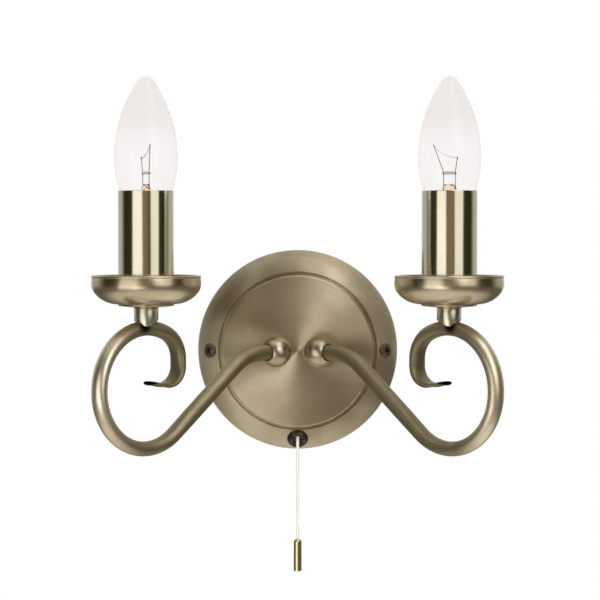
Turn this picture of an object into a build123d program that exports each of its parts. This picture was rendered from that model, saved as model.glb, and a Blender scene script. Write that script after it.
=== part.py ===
"""Double arm wall light: two brass scroll arms with drip pans and candle lamps on a
round wall plate, with a pull-cord switch.

Millimetres. The origin is the middle of the plate on the wall's face, +Z is up, and the
light stands out from the wall along -Y. Left and right are as seen from the room.
"""

import os
from math import asin, atan2, copysign, cos, degrees, hypot, pi, radians, sin, sqrt, tan

from build123d import *

os.makedirs("parts", exist_ok=True)

# ---- Driving dimensions -------------------------------------------------------------

SIDES = {"left": -1, "right": 1}

# wall plate: a pressed cover with a curved rim, a groove and a raised disc
PLATE_RADIUS = 60.0
PLATE_WALL = 0.9
PLATE_EDGE = 1.2  # straight edge at the wall
RIM_ARC_RADIUS = 19.8
RIM_EDGE_TILT = 80.0  # degrees between the rim's normal and straight out, at the edge
RIM_TOP_TILT = 20.0  # the same at the groove
GROOVE_WIDTH = 1.6
GROOVE_DEPTH = 1.2
RIM_WIDTH = 14.9  # from the disc's edge to the plate's edge
DISC_OUT = 21.5  # face of the disc from the wall
DISC_EDGE_RADIUS = 1.2

# cover screws, square to the rim at three and nine o'clock
SCREW_INSET = 7.6  # from the plate's edge
SCREW_HEAD_DIAMETER = 8.8
SCREW_HEAD_HEIGHT = 2.4
SCREW_SHANK_DIAMETER = 4.0
SCREW_LENGTH = 14.0
SCREW_RECESS = 1.0

# bracket on the wall
BRACKET_THICKNESS = 1.5
BRACKET_WIDTH = 18.0
BRACKET_ARM_WIDTH = 20.0
BRACKET_ARM_TOP = 33.0
EAR_DEPTH = 10.0  # from the rim's surface along the cover screw to the ear
EAR_REACH = 5.0  # past the cover screw's hole
WALL_SLOT_SPACING = 60.0
WALL_SLOT_LENGTH = 12.0
WALL_SLOT_WIDTH = 5.0
CABLE_HOLE_DIAMETER = 10.0
EARTH_SCREW_X = 16.0
EARTH_SCREW_HEAD = 6.0
EARTH_SCREW_LENGTH = 5.0

# knuckles
KNUCKLE_X = 12.6
BALL_DIAMETER = 18.0
BALL_SEAT = 6.0  # middle of the ball in front of the disc
BALL_FLANGE_DIAMETER = 15.6
BALL_FLANGE_THICKNESS = 1.1
STUD_DIAMETER = 10.0
STUD_LENGTH = 6.4
STUD_BORE = 6.0
SOCKET_START = 3.0  # along the arm, from the middle of the ball
SOCKET_SEAT = 3.5  # length of the close fit round the tube
SOCKET_MOUTH_DIAMETER = 10.4
NUT_FLATS = 14.0
NUT_THICKNESS = 3.0

# arms: a tube bent in an upright plane that stands at an angle to the wall
ARM_ANGLE = 45.0
TUBE_DIAMETER = 9.1
TUBE_WALL = 1.0
ROOT_BEND_RADIUS = 35.0
ROOT_CORNER = 24.53  # from the knuckle, where the root's line would meet the fall's
RING_REACH = 100.8  # from the knuckle to the middle of the ring
RING_DROP = 16.3
RING_RADIUS = 33.5
RING_WIDTH = 9.9  # the tube goes oval where it is bent
RING_THICKNESS = 8.3
OVAL_RUN = 14.0
RING_PAST_TOP = 25.0
CURL_RADIUS = 16.3
REACH_LENGTH = 4.0
HOOK_RADIUS = 10.5
HOOK_ANGLE = 100.0
TIP_LENGTH = 8.0
TIP_WIDTH = 12.8  # the end of the tube is hammered flat
TIP_THICKNESS = 2.4
TIP_SQUARENESS = 2.7
TIP_CHANNEL = 0.6  # depth of the channel along the inner face
CHANNEL_SPREAD = 0.8  # share of the width that the channel takes
TIP_SLIT_WIDTH = 10.2
TIP_SLIT_HEIGHT = 0.8
TIP_SLIT_DEPTH = 3.0
SECTION_POINTS = 20
TAIL_SECTIONS = 15  # spaces between the tail's outlines, all alike

# collar, pan and candle, all on one upright axis over each ring
COLLAR_DIAMETER = 13.6
COLLAR_SKIRT = 3.0  # below the top of the ring's tube
COLLAR_HEIGHT = 7.35  # above the ring's tube
WIRE_HOLE_DIAMETER = 5.0
NIPPLE_DIAMETER = 10.0
NIPPLE_BORE = 7.0
NIPPLE_SEAT = 5.3  # depth in the collar
NIPPLE_LENGTH = 20.6
WASHER_DIAMETER = 31.0
WASHER_EDGE = 0.9
WASHER_DISH = 0.9
PAN_BOTTOM_RADIUS = 16.0
PAN_BOWL_RADIUS = 16.0
PAN_BOWL_ANGLE = 53.0
PAN_SIDE_RADIUS = 8.0
PAN_LIP_RADIUS = 25.0
PAN_LIP_ANGLE = 9.5
PAN_WALL = 0.8
PAN_BEAD = 0.8
SEAT_THICKNESS = 1.2
CANDLE_DIAMETER = 31.0
CANDLE_WALL = 0.8
CANDLE_LENGTH = 61.9
CANDLE_MOUTH_FILLET = 0.3

# lampholder, for a 14 mm screw cap
HOLDER_NECK_DIAMETER = 20.0
HOLDER_NECK_HEIGHT = 8.0
HOLDER_DIAMETER = 26.0
HOLDER_HEIGHT = 37.0
HOLDER_FLOOR = 10.0
HOLDER_LIFT = 0.5  # above the locknut
WIRE_SLOT_LENGTH = 6.4
WIRE_SLOT_WIDTH = 3.2
WIRE_SLOT_DEPTH = 6.0
SHELL_DIAMETER = 15.6
SHELL_WALL = 0.5
SHELL_HEIGHT = 19.0
SHELL_START = 6.0  # above the holder's floor
CONTACT_PIN_DIAMETER = 3.0
CONTACT_WIDTH = 6.0
CONTACT_THICKNESS = 0.8
CONTACT_LIFT = 3.4

# lamp: a clear candle lamp, 35 mm across
LAMP_DIAMETER = 35.0
LAMP_WIDEST = 53.0  # above the lamp's own contact
LAMP_WALL = 0.7
LAMP_SHOULDER_RADIUS = 75.0
LAMP_SHOULDER_ANGLE = 31.0
LAMP_NOSE_RUN = 4.3
LAMP_FOOT_RADIUS = 60.0
LAMP_FOOT_ANGLE = 24.0
LAMP_NECK_DIAMETER = 13.2
LAMP_NECK_TOP = 25.5
LAMP_NECK_START = 15.0
CAP_DIAMETER = 13.9
CAP_WALL = 0.3
CAP_START = 4.2
CAP_TOP = 25.0
INSULATOR_DIAMETER = 9.5
POINT_DIAMETER = 5.0
POINT_HEIGHT = 1.4
STEM_DIAMETER = 7.0
STEM_FLARE = 3.0
STEM_TOP = 32.0
PINCH_WIDTH = 8.0
PINCH_THICKNESS = 2.4
PINCH_HEIGHT = 8.0
BEAD_LENGTH = 8.4
BEAD_THICKNESS = 1.8
BEAD_HEIGHT = 44.2
LEAD_DIAMETER = 0.5
LEAD_SPACING = 6.6
LONG_LEAD_TOP = 60.2
LONG_LEAD_SPREAD = 5.8
SHORT_LEAD_TOP = 53.6
SHORT_LEAD_SPREAD = 1.3
LAMP_TURN = {"left": 75.0, "right": -18.0}  # how far each lamp was screwed home

# pull switch and its cord
FERRULE_INSET = 7.2  # from the plate's edge
FERRULE_DIAMETER = 12.6
FERRULE_BARREL = 10.2
FERRULE_BORE = 8.6
FERRULE_NOSE = 2.5
FERRULE_LIP = 9.9
FERRULE_TAIL = 0.8  # behind the plate
CARRIER_THICKNESS = 1.2
CARRIER_WIDTH = 42.0
CARRIER_HEIGHT = 16.0
TONGUE_WIDTH = 16.0
SWITCH_WIDTH = 20.0
SWITCH_DEPTH = 13.6
SWITCH_ROOM = 6.2  # between the switch and the disc's side wall
SWITCH_HEIGHT = 20.5
SWITCH_CHAMBER = 7.8
SWITCH_FLOOR = 1.4
PLUNGER_DIAMETER = 4.0
PLUNGER_HEAD = 7.2
PLUNGER_HEAD_HEIGHT = 3.0
PLUNGER_FOOT = 1.6  # below the switch
CORD_OUT = 13.3  # the cord's line from the wall
PULL_TRAVEL = 4.4
SPRING_WIRE = 0.5
SPRING_DIAMETER = 6.2
SPRING_TURNS = 4.0
CORD_DIAMETER = 1.8
CORD_LENGTH = 73.3
TOGGLE_DIAMETER = 4.7
TOGGLE_LENGTH = 19.3
TOGGLE_DOME = 1.3

# terminals and wires
BLOCK_WIDTH = 38.0
BLOCK_HEIGHT = 16.0
BLOCK_DEPTH = 12.5
BLOCK_GAP = 5.0  # between the bracket's strap and the block
BLOCK_SCREW_DIAMETER = 3.6
BLOCK_SCREW_DEPTH = 4.0
WIRE_DIAMETER = 2.0
WIRE_SPACING = 2.6
WIRE_OUT = 8.0
WIRE_BEND = 5.0
WIRE_RISE_BEND = 4.0
SWITCH_WIRE_SPACING = 6.0

# clearances
SLIDE_GAP = 0.1  # round the plunger
FIT_GAP = 0.05  # between a tube or thread and its hole, each side
LAMP_GAP = 0.3  # between the lamp's point and the holder's contact

# ---- Worked out from them -----------------------------------------------------------

DISC_RADIUS = PLATE_RADIUS - RIM_WIDTH
SCREW_RING = PLATE_RADIUS - SCREW_INSET
FERRULE_RING = PLATE_RADIUS - FERRULE_INSET
RIM_CENTRE_R = PLATE_RADIUS - RIM_ARC_RADIUS * sin(radians(RIM_EDGE_TILT))
RIM_CENTRE_OUT = PLATE_EDGE - RIM_ARC_RADIUS * cos(radians(RIM_EDGE_TILT))
DISC_BACK = DISC_OUT - PLATE_WALL
BALL_OUT = DISC_OUT + BALL_SEAT
BALL_RADIUS = BALL_DIAMETER / 2
CARRIER_BACK = DISC_BACK - CARRIER_THICKNESS

ARM_COS = cos(radians(ARM_ANGLE))
ARM_SIN = sin(radians(ARM_ANGLE))
RING_TOP = RING_RADIUS - RING_DROP  # the tube's middle, at the top of the ring
RING_AHEAD = RING_REACH - ROOT_CORNER
FALL_ANGLE = degrees(
    atan2(RING_DROP, RING_AHEAD) + asin(RING_RADIUS / hypot(RING_DROP, RING_AHEAD))
)
CANDLE_X = KNUCKLE_X + RING_REACH * ARM_COS
CANDLE_OUT = BALL_OUT + RING_REACH * ARM_SIN

COLLAR_TOP = RING_TOP + RING_THICKNESS / 2 + COLLAR_HEIGHT
NIPPLE_FOOT = COLLAR_TOP - NIPPLE_SEAT
WASHER_TOP = COLLAR_TOP + WASHER_DISH + WASHER_EDGE
PAN_FLOOR = WASHER_TOP + PAN_WALL
SEAT_TOP = PAN_FLOOR + SEAT_THICKNESS
LOCKNUT_TOP = SEAT_TOP + NUT_THICKNESS
HOLDER_FOOT = LOCKNUT_TOP + HOLDER_LIFT
HOLDER_SHOULDER = HOLDER_FOOT + HOLDER_NECK_HEIGHT
HOLDER_CUP = HOLDER_SHOULDER + HOLDER_FLOOR
CONTACT_TOP = HOLDER_CUP + CONTACT_LIFT + CONTACT_THICKNESS
LAMP_FOOT = CONTACT_TOP + LAMP_GAP
SWITCH_TOP = SWITCH_HEIGHT + SWITCH_ROOM + PLATE_WALL - DISC_RADIUS
PLUNGER_END = SWITCH_TOP - SWITCH_HEIGHT - PLUNGER_FOOT
CORD_END = PLUNGER_END - CORD_LENGTH


def rim_tilt(ring):
    """Angle between the rim's normal and straight out, at a distance from the middle."""
    return asin((ring - RIM_CENTRE_R) / RIM_ARC_RADIUS)


def rim_out(ring):
    """Distance of the rim's surface from the wall, at a distance from the middle."""
    return RIM_CENTRE_OUT + RIM_ARC_RADIUS * cos(rim_tilt(ring))


def candle_plane(side, height):
    """Level plane on a candle's axis. Its x axis is square to the arm."""
    return Plane(
        origin=(side * CANDLE_X, -CANDLE_OUT, height),
        x_dir=(ARM_SIN, side * ARM_COS, 0),
        z_dir=(0, 0, 1),
    )


def candle_profile(side):
    """Upright plane through a candle's axis, for profiles of what turns about it."""
    return Plane(origin=(side * CANDLE_X, -CANDLE_OUT, 0), x_dir=(1, 0, 0), z_dir=(0, -1, 0))


def candle_axis(side):
    """A candle's upright axis."""
    return Axis((side * CANDLE_X, -CANDLE_OUT, 0), (0, 0, 1))


def arm_plane(side, aside=0.0):
    """Plane of an arm: x runs out along the arm from the knuckle, y is up."""
    return Plane(
        origin=(
            side * KNUCKLE_X + aside * ARM_SIN,
            -BALL_OUT + aside * side * ARM_COS,
            0,
        ),
        x_dir=(side * ARM_COS, -ARM_SIN, 0),
        z_dir=(-ARM_SIN, -side * ARM_COS, 0),
    )


def finish(part, name):
    """Give a finished piece its name and write it."""
    part.label = name
    export_step(part, f"parts/{name}.step")


# ---- Wall plate ---------------------------------------------------------------------

screw_tilt = rim_tilt(SCREW_RING)
screw_planes = [
    Plane(
        origin=(side * SCREW_RING, -rim_out(SCREW_RING), 0),
        x_dir=(0, 0, 1),
        z_dir=(side * sin(screw_tilt), -cos(screw_tilt), 0),
    )
    for side in SIDES.values()
]
ferrule_tilt = rim_tilt(FERRULE_RING)
ferrule_plane = Plane(
    origin=(0, -rim_out(FERRULE_RING), -FERRULE_RING),
    x_dir=(1, 0, 0),
    z_dir=(0, -cos(ferrule_tilt), -sin(ferrule_tilt)),
)

inner_arc_radius = RIM_ARC_RADIUS - PLATE_WALL
groove_floor = RIM_CENTRE_OUT + RIM_ARC_RADIUS * cos(radians(RIM_TOP_TILT)) - GROOVE_DEPTH
groove_back = groove_floor - PLATE_WALL
inner_top_tilt = 90 - asin((groove_back - RIM_CENTRE_OUT) / inner_arc_radius) * 180 / pi
inner_edge_tilt = 90 + asin(RIM_CENTRE_OUT / inner_arc_radius) * 180 / pi

with BuildPart() as plate_blank:
    with BuildSketch(Plane.XY):
        with BuildLine():
            face_line = Line((0, -DISC_OUT), (DISC_RADIUS - DISC_EDGE_RADIUS, -DISC_OUT))
            disc_edge = JernArc(face_line @ 1, (1, 0), DISC_EDGE_RADIUS, 90)
            disc_side = Line(disc_edge @ 1, (DISC_RADIUS, -groove_floor))
            groove = Line(disc_side @ 1, (DISC_RADIUS + GROOVE_WIDTH, -groove_floor))
            rim = CenterArc(
                (RIM_CENTRE_R, -RIM_CENTRE_OUT),
                RIM_ARC_RADIUS,
                RIM_TOP_TILT - 90,
                RIM_EDGE_TILT - RIM_TOP_TILT,
            )
            Line(groove @ 1, rim @ 0)
            edge = Line(rim @ 1, (PLATE_RADIUS, 0))
            inner_rim = CenterArc(
                (RIM_CENTRE_R, -RIM_CENTRE_OUT),
                inner_arc_radius,
                inner_top_tilt - 90,
                inner_edge_tilt - inner_top_tilt,
            )
            Line(edge @ 1, inner_rim @ 1)
            Polyline(
                inner_rim @ 0,
                (DISC_RADIUS - PLATE_WALL, -groove_back),
                (DISC_RADIUS - PLATE_WALL, -DISC_BACK),
                (0, -DISC_BACK),
                (0, -DISC_OUT),
            )
        make_face()
    revolve(axis=Axis.Y)

with BuildPart() as backplate:
    add(plate_blank.part)
    with BuildSketch(Plane.XZ.offset(DISC_BACK)):
        with Locations((-KNUCKLE_X, 0), (KNUCKLE_X, 0)):
            Circle(STUD_DIAMETER / 2 + FIT_GAP)
    extrude(amount=PLATE_WALL, mode=Mode.SUBTRACT)
    for screw_plane in screw_planes:
        with BuildSketch(screw_plane):
            Circle(SCREW_SHANK_DIAMETER / 2 + FIT_GAP)
        extrude(amount=2 * PLATE_WALL, both=True, mode=Mode.SUBTRACT)
    with BuildSketch(ferrule_plane):
        Circle(FERRULE_BARREL / 2 + FIT_GAP)
    extrude(amount=3 * PLATE_WALL, both=True, mode=Mode.SUBTRACT)
finish(backplate.part, "backplate")

# domed heads, their rims let down onto the curved plate, with a hexagon recess
head_radius = SCREW_HEAD_DIAMETER / 2
head_drop = RIM_ARC_RADIUS - sqrt(RIM_ARC_RADIUS**2 - head_radius**2)
dome_rise = SCREW_HEAD_HEIGHT - SCREW_RECESS / 2
dome_radius = (head_radius**2 + dome_rise**2) / (2 * dome_rise)
dome_angle = asin(head_radius / dome_radius)
dome_middle = SCREW_HEAD_HEIGHT - dome_radius * (1 - cos(dome_angle / 2))
with BuildPart() as cover_screws:
    for screw_plane in screw_planes:
        side_plane = Plane(
            screw_plane.origin,
            x_dir=screw_plane.x_dir,
            z_dir=screw_plane.x_dir.cross(screw_plane.z_dir),
        )
        with BuildSketch(side_plane):
            with BuildLine():
                base = Line((0, -head_drop), (head_radius, -head_drop))
                wall = Line(base @ 1, (head_radius, SCREW_RECESS / 2))
                dome = ThreePointArc(
                    wall @ 1,
                    (dome_radius * sin(dome_angle / 2), dome_middle),
                    (0, SCREW_HEAD_HEIGHT),
                )
                Line(dome @ 1, base @ 0)
            make_face()
        revolve(axis=Axis(screw_plane.origin, screw_plane.z_dir))
    add(plate_blank.part, mode=Mode.SUBTRACT)
    for screw_plane in screw_planes:
        with BuildSketch(screw_plane.offset(-SCREW_LENGTH)):
            Circle(SCREW_SHANK_DIAMETER / 2)
        extrude(amount=SCREW_LENGTH + SCREW_HEAD_HEIGHT / 3)
        with BuildSketch(screw_plane.offset(SCREW_HEAD_HEIGHT - SCREW_RECESS)):
            RegularPolygon(head_radius / 3, 6)
        extrude(amount=SCREW_RECESS, mode=Mode.SUBTRACT)
finish(cover_screws.part, "cover_screws")


# ---- Bracket on the wall ------------------------------------------------------------

# each ear folds back from the strap's end, square to its cover screw
ear_x = SCREW_RING - EAR_DEPTH * sin(screw_tilt)
ear_out = rim_out(SCREW_RING) - EAR_DEPTH * cos(screw_tilt)
fold_x = ear_x + ear_out / tan(screw_tilt)
ear_length = ear_out / sin(screw_tilt) + EAR_REACH

with BuildPart() as wall_bracket:
    with BuildSketch(Plane.XZ):
        Rectangle(2 * fold_x, BRACKET_WIDTH)
        with Locations((0, BRACKET_ARM_TOP / 2)):
            Rectangle(BRACKET_ARM_WIDTH, BRACKET_ARM_TOP)
    extrude(amount=BRACKET_THICKNESS)
    for side in SIDES.values():
        ear_edge = Plane(
            origin=(side * fold_x, 0, 0),
            x_dir=(-side * cos(screw_tilt), -sin(screw_tilt), 0),
            z_dir=(side * sin(screw_tilt), -cos(screw_tilt), 0),
        )
        with BuildSketch(ear_edge):
            with Locations((ear_length / 2, 0)):
                Rectangle(ear_length, BRACKET_WIDTH)
        extrude(amount=-BRACKET_THICKNESS)
    with BuildSketch(Plane.XZ):
        Rectangle(4 * fold_x, 2 * BRACKET_ARM_TOP)
    extrude(amount=-2 * BRACKET_THICKNESS, mode=Mode.SUBTRACT)
    for screw_plane in screw_planes:
        with BuildSketch(screw_plane.offset(-SCREW_LENGTH)):
            Circle(SCREW_SHANK_DIAMETER / 2 + FIT_GAP)
        extrude(amount=SCREW_LENGTH, mode=Mode.SUBTRACT)
    with BuildSketch(Plane.XZ):
        with Locations((-WALL_SLOT_SPACING / 2, 0), (WALL_SLOT_SPACING / 2, 0)):
            SlotOverall(WALL_SLOT_LENGTH, WALL_SLOT_WIDTH)
        Circle(CABLE_HOLE_DIAMETER / 2)
        with Locations((EARTH_SCREW_X, 0)):
            Circle(SCREW_SHANK_DIAMETER / 2 + FIT_GAP)
    extrude(amount=BRACKET_THICKNESS, mode=Mode.SUBTRACT)
finish(wall_bracket.part, "wall_bracket")

with BuildPart() as earth_screw:
    with BuildSketch(Plane.XZ.offset(BRACKET_THICKNESS)):
        with Locations((EARTH_SCREW_X, 0)):
            Circle(EARTH_SCREW_HEAD / 2)
    extrude(amount=EARTH_SCREW_HEAD / 3)
    with BuildSketch(Plane.XZ):
        with Locations((EARTH_SCREW_X, 0)):
            Circle(SCREW_SHANK_DIAMETER / 2)
    extrude(amount=EARTH_SCREW_LENGTH)
finish(earth_screw.part, "earth_screw")

block_foot = BRACKET_WIDTH / 2 + BLOCK_GAP
block_front = BRACKET_THICKNESS + BLOCK_DEPTH
block_middle = block_foot + BLOCK_HEIGHT / 2
block_poles = [-KNUCKLE_X, -SWITCH_WIRE_SPACING / 2, SWITCH_WIRE_SPACING / 2, KNUCKLE_X]
wire_entry = BLOCK_HEIGHT / 4

with BuildPart() as terminal_block:
    with BuildSketch(Plane.XZ.offset(BRACKET_THICKNESS)):
        with Locations((0, block_middle)):
            RectangleRounded(BLOCK_WIDTH, BLOCK_HEIGHT, 1.5)
    extrude(amount=BLOCK_DEPTH)
    with BuildSketch(Plane.XZ.offset(block_front)):
        with Locations(*[(x, block_middle) for x in block_poles]):
            Circle(BLOCK_SCREW_DIAMETER / 2 + FIT_GAP)
    extrude(amount=-BLOCK_SCREW_DEPTH, mode=Mode.SUBTRACT)
    with BuildSketch(Plane.XY.offset(block_foot)):
        with Locations(*[(x, -WIRE_OUT) for x in block_poles[1:3]]):
            Circle(WIRE_DIAMETER / 2 + FIT_GAP)
        with Locations(*[(x, -WIRE_OUT) for x in (-KNUCKLE_X, KNUCKLE_X)]):
            SlotCenterToCenter(WIRE_SPACING, WIRE_DIAMETER + 2 * FIT_GAP)
    extrude(amount=wire_entry, mode=Mode.SUBTRACT)
finish(terminal_block.part, "terminal_block")

with BuildPart() as terminal_screws:
    with BuildSketch(Plane.XZ.offset(block_front - BLOCK_SCREW_DEPTH)):
        with Locations(*[(x, block_middle) for x in block_poles]):
            Circle(BLOCK_SCREW_DIAMETER / 2)
    extrude(amount=BLOCK_SCREW_DEPTH - 1)
finish(terminal_screws.part, "terminal_screws")


# ---- Pull switch, its cord and the ferrule it hangs from ----------------------------

switch_foot = SWITCH_TOP - SWITCH_HEIGHT
switch_middle = SWITCH_TOP - SWITCH_HEIGHT / 2
tongue_length = -switch_foot - CARRIER_HEIGHT / 2
chamber_foot = switch_foot + SWITCH_FLOOR
head_foot = chamber_foot + PULL_TRAVEL + SPRING_WIRE * (SPRING_TURNS + 1)
chamber_top = head_foot + PLUNGER_HEAD_HEIGHT + SLIDE_GAP
ferrule_drop = RIM_ARC_RADIUS - sqrt(RIM_ARC_RADIUS**2 - (FERRULE_DIAMETER / 2) ** 2)

# strip behind the disc, held by the knuckles' nuts, that carries the switch
with BuildPart() as carrier_strip:
    with BuildSketch(Plane.XZ.offset(CARRIER_BACK)):
        RectangleRounded(CARRIER_WIDTH, CARRIER_HEIGHT, 2)
        with Locations((0, -CARRIER_HEIGHT / 2 - tongue_length / 2 + 1)):
            Rectangle(TONGUE_WIDTH, tongue_length + 2)
        with Locations((-KNUCKLE_X, 0), (KNUCKLE_X, 0)):
            Circle(STUD_DIAMETER / 2 + FIT_GAP, mode=Mode.SUBTRACT)
    extrude(amount=CARRIER_THICKNESS)
finish(carrier_strip.part, "carrier_strip")

with BuildPart() as switch_body:
    with BuildSketch(Plane.XZ.offset(CARRIER_BACK)):
        with Locations((0, switch_middle)):
            RectangleRounded(SWITCH_WIDTH, SWITCH_HEIGHT, 2)
    extrude(amount=-SWITCH_DEPTH)
    with BuildSketch(Plane.XY.offset(chamber_foot)):
        with Locations((0, -CORD_OUT)):
            Circle(SWITCH_CHAMBER / 2)
    extrude(amount=chamber_top - chamber_foot, mode=Mode.SUBTRACT)
    with BuildSketch(Plane.XY.offset(switch_foot)):
        with Locations((0, -CORD_OUT)):
            Circle(PLUNGER_DIAMETER / 2 + SLIDE_GAP)
    extrude(amount=SWITCH_FLOOR, mode=Mode.SUBTRACT)
    with BuildSketch(Plane.XY.offset(SWITCH_TOP)):
        with Locations(*[(x, -WIRE_OUT) for x in block_poles[1:3]]):
            Circle(WIRE_DIAMETER / 2 + FIT_GAP)
    extrude(amount=-wire_entry / 2, mode=Mode.SUBTRACT)
finish(switch_body.part, "switch_body")

with BuildPart() as switch_plunger:
    with BuildSketch(Plane.XY.offset(PLUNGER_END)):
        with Locations((0, -CORD_OUT)):
            Circle(PLUNGER_DIAMETER / 2)
    extrude(amount=head_foot - PLUNGER_END)
    with BuildSketch(Plane.XY.offset(head_foot)):
        with Locations((0, -CORD_OUT)):
            Circle(PLUNGER_HEAD / 2)
    extrude(amount=PLUNGER_HEAD_HEIGHT)
finish(switch_plunger.part, "switch_plunger")

spring_run = head_foot - chamber_foot - SPRING_WIRE
spring_foot = chamber_foot + SPRING_WIRE / 2
coil_radius = (SPRING_DIAMETER - SPRING_WIRE) / 2
with BuildPart() as switch_spring:
    with BuildLine(Plane((0, -CORD_OUT, spring_foot))):
        coil = Helix(spring_run / SPRING_TURNS, spring_run, coil_radius)
    with BuildSketch(Plane(origin=coil @ 0, z_dir=coil % 0)):
        Circle(SPRING_WIRE / 2)
    sweep(path=coil, is_frenet=True)
finish(switch_spring.part, "switch_spring")
print(f"spring: {SPRING_TURNS} turns, gap {spring_run / SPRING_TURNS - SPRING_WIRE:.2f} mm")

with BuildPart() as switch_wires:
    with BuildSketch(Plane.XY.offset(SWITCH_TOP - wire_entry / 2)):
        with Locations(*[(x, -WIRE_OUT) for x in block_poles[1:3]]):
            Circle(WIRE_DIAMETER / 2)
    extrude(amount=block_foot + wire_entry - SWITCH_TOP + wire_entry / 2)
finish(switch_wires.part, "switch_wires")

# turned ferrule: a domed nose outside, its lip bell-mouthed, and a tail rolled over inside
with BuildPart() as cord_ferrule:
    with BuildSketch(
        Plane(
            ferrule_plane.origin,
            x_dir=ferrule_plane.x_dir,
            z_dir=ferrule_plane.x_dir.cross(ferrule_plane.z_dir),
        )
    ):
        with BuildLine():
            lip_radius = (FERRULE_LIP - FERRULE_BORE) / 4
            lip_out = FERRULE_NOSE - lip_radius
            foot = Line((FERRULE_BORE / 2, -ferrule_drop), (FERRULE_DIAMETER / 2, -ferrule_drop))
            skirt = Line(foot @ 1, (FERRULE_DIAMETER / 2, 0.2))
            dome = ThreePointArc(
                skirt @ 1,
                (FERRULE_DIAMETER / 2 - 0.5, FERRULE_NOSE * 0.5),
                (FERRULE_LIP / 2, lip_out),
            )
            lip = ThreePointArc(
                dome @ 1,
                (FERRULE_LIP / 2 - lip_radius, FERRULE_NOSE),
                (FERRULE_BORE / 2, lip_out),
            )
            Line(lip @ 1, foot @ 0)
        make_face()
    revolve(axis=Axis(ferrule_plane.origin, ferrule_plane.z_dir))
    add(plate_blank.part, mode=Mode.SUBTRACT)
    with BuildSketch(ferrule_plane.offset(-FERRULE_TAIL - PLATE_WALL)):
        Circle(FERRULE_BARREL / 2)
        Circle(FERRULE_BORE / 2, mode=Mode.SUBTRACT)
    extrude(amount=FERRULE_TAIL + PLATE_WALL)
finish(cord_ferrule.part, "cord_ferrule")

# the cord hangs straight from the plunger, with the toggle's weight on it
with BuildPart() as pull_cord:
    with BuildSketch(Plane.XY.offset(PLUNGER_END)):
        with Locations((0, -CORD_OUT)):
            Circle(CORD_DIAMETER / 2)
    extrude(amount=-CORD_LENGTH)
finish(pull_cord.part, "pull_cord")
print(f"cord: one straight run of {CORD_LENGTH} mm, no bends")

toggle_plane = Plane(origin=(0, -CORD_OUT, 0), x_dir=(1, 0, 0), z_dir=(0, -1, 0))
with BuildPart() as cord_toggle:
    with BuildSketch(toggle_plane):
        with BuildLine():
            toggle_radius = TOGGLE_DIAMETER / 2
            toggle_foot = CORD_END - TOGGLE_LENGTH
            land = Line((0, CORD_END), (CORD_DIAMETER / 2, CORD_END))
            shoulder = RadiusArc(
                land @ 1,
                (toggle_radius, CORD_END - TOGGLE_DOME),
                TOGGLE_DOME * 1.4,
            )
            flank = Line(shoulder @ 1, (toggle_radius, toggle_foot + 0.4))
            Polyline(
                flank @ 1,
                (toggle_radius - 0.4, toggle_foot),
                (0, toggle_foot),
                (0, CORD_END),
            )
        make_face()
    revolve(axis=Axis((0, -CORD_OUT, 0), (0, 0, 1)))
finish(cord_toggle.part, "cord_toggle")


# ---- Knuckles -----------------------------------------------------------------------

def make_knuckle(side, name):
    """A ball with a thin flange and a hollow stud behind, and a socket for the arm."""
    middle = (side * KNUCKLE_X, -BALL_OUT, 0)
    arm_way = Plane(origin=middle, z_dir=(side * ARM_COS, -ARM_SIN, 0))
    flange_front = BALL_SEAT - BALL_FLANGE_THICKNESS
    with BuildPart() as knuckle:
        with BuildSketch(Plane(origin=middle)):
            with BuildLine():
                ball = CenterArc(
                    (0, 0),
                    BALL_RADIUS,
                    -90,
                    90 + asin(flange_front / BALL_RADIUS) * 180 / pi,
                )
                Polyline(
                    ball @ 1,
                    (BALL_FLANGE_DIAMETER / 2, flange_front),
                    (BALL_FLANGE_DIAMETER / 2, BALL_SEAT),
                    (STUD_DIAMETER / 2, BALL_SEAT),
                    (STUD_DIAMETER / 2, BALL_SEAT + STUD_LENGTH),
                    (0, BALL_SEAT + STUD_LENGTH),
                    (0, -BALL_RADIUS),
                )
            make_face()
        revolve(axis=Axis(middle, (0, 1, 0)))
        with BuildSketch(Plane.XZ.offset(DISC_OUT - STUD_LENGTH)):
            with Locations((side * KNUCKLE_X, 0)):
                Circle(STUD_BORE / 2)
        extrude(amount=STUD_LENGTH + BALL_SEAT, mode=Mode.SUBTRACT)
        with Locations(middle):
            Sphere(STUD_BORE / 2, mode=Mode.SUBTRACT)
        with BuildSketch(arm_way):
            Circle(STUD_BORE / 2)
        extrude(amount=SOCKET_START, mode=Mode.SUBTRACT)
        with BuildSketch(arm_way.offset(SOCKET_START)):
            Circle(TUBE_DIAMETER / 2 + FIT_GAP)
        extrude(amount=SOCKET_SEAT, mode=Mode.SUBTRACT)
        with BuildSketch(arm_way.offset(SOCKET_START + SOCKET_SEAT)):
            Circle(SOCKET_MOUTH_DIAMETER / 2)
        extrude(amount=BALL_DIAMETER, mode=Mode.SUBTRACT)
    finish(knuckle.part, name)


for name, side in SIDES.items():
    make_knuckle(side, f"knuckle_{name}")

with BuildPart() as knuckle_nuts:
    with BuildSketch(Plane.XZ.offset(CARRIER_BACK)):
        with Locations((-KNUCKLE_X, 0), (KNUCKLE_X, 0)):
            RegularPolygon(NUT_FLATS / 2, 6, major_radius=False)
            Circle(STUD_DIAMETER / 2 + FIT_GAP, mode=Mode.SUBTRACT)
    extrude(amount=-NUT_THICKNESS)
finish(knuckle_nuts.part, "knuckle_nuts")


# ---- Arms: the piece that takes the most skill --------------------------------------
# A round tube leaves the knuckle, bends down, runs straight to the ring and rolls round
# it. Past the top it is hammered ever flatter and wider, and curls in to its tip.

def eased(share):
    """Smooth step from 0 to 1."""
    return share * share * (3 - 2 * share)


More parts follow.
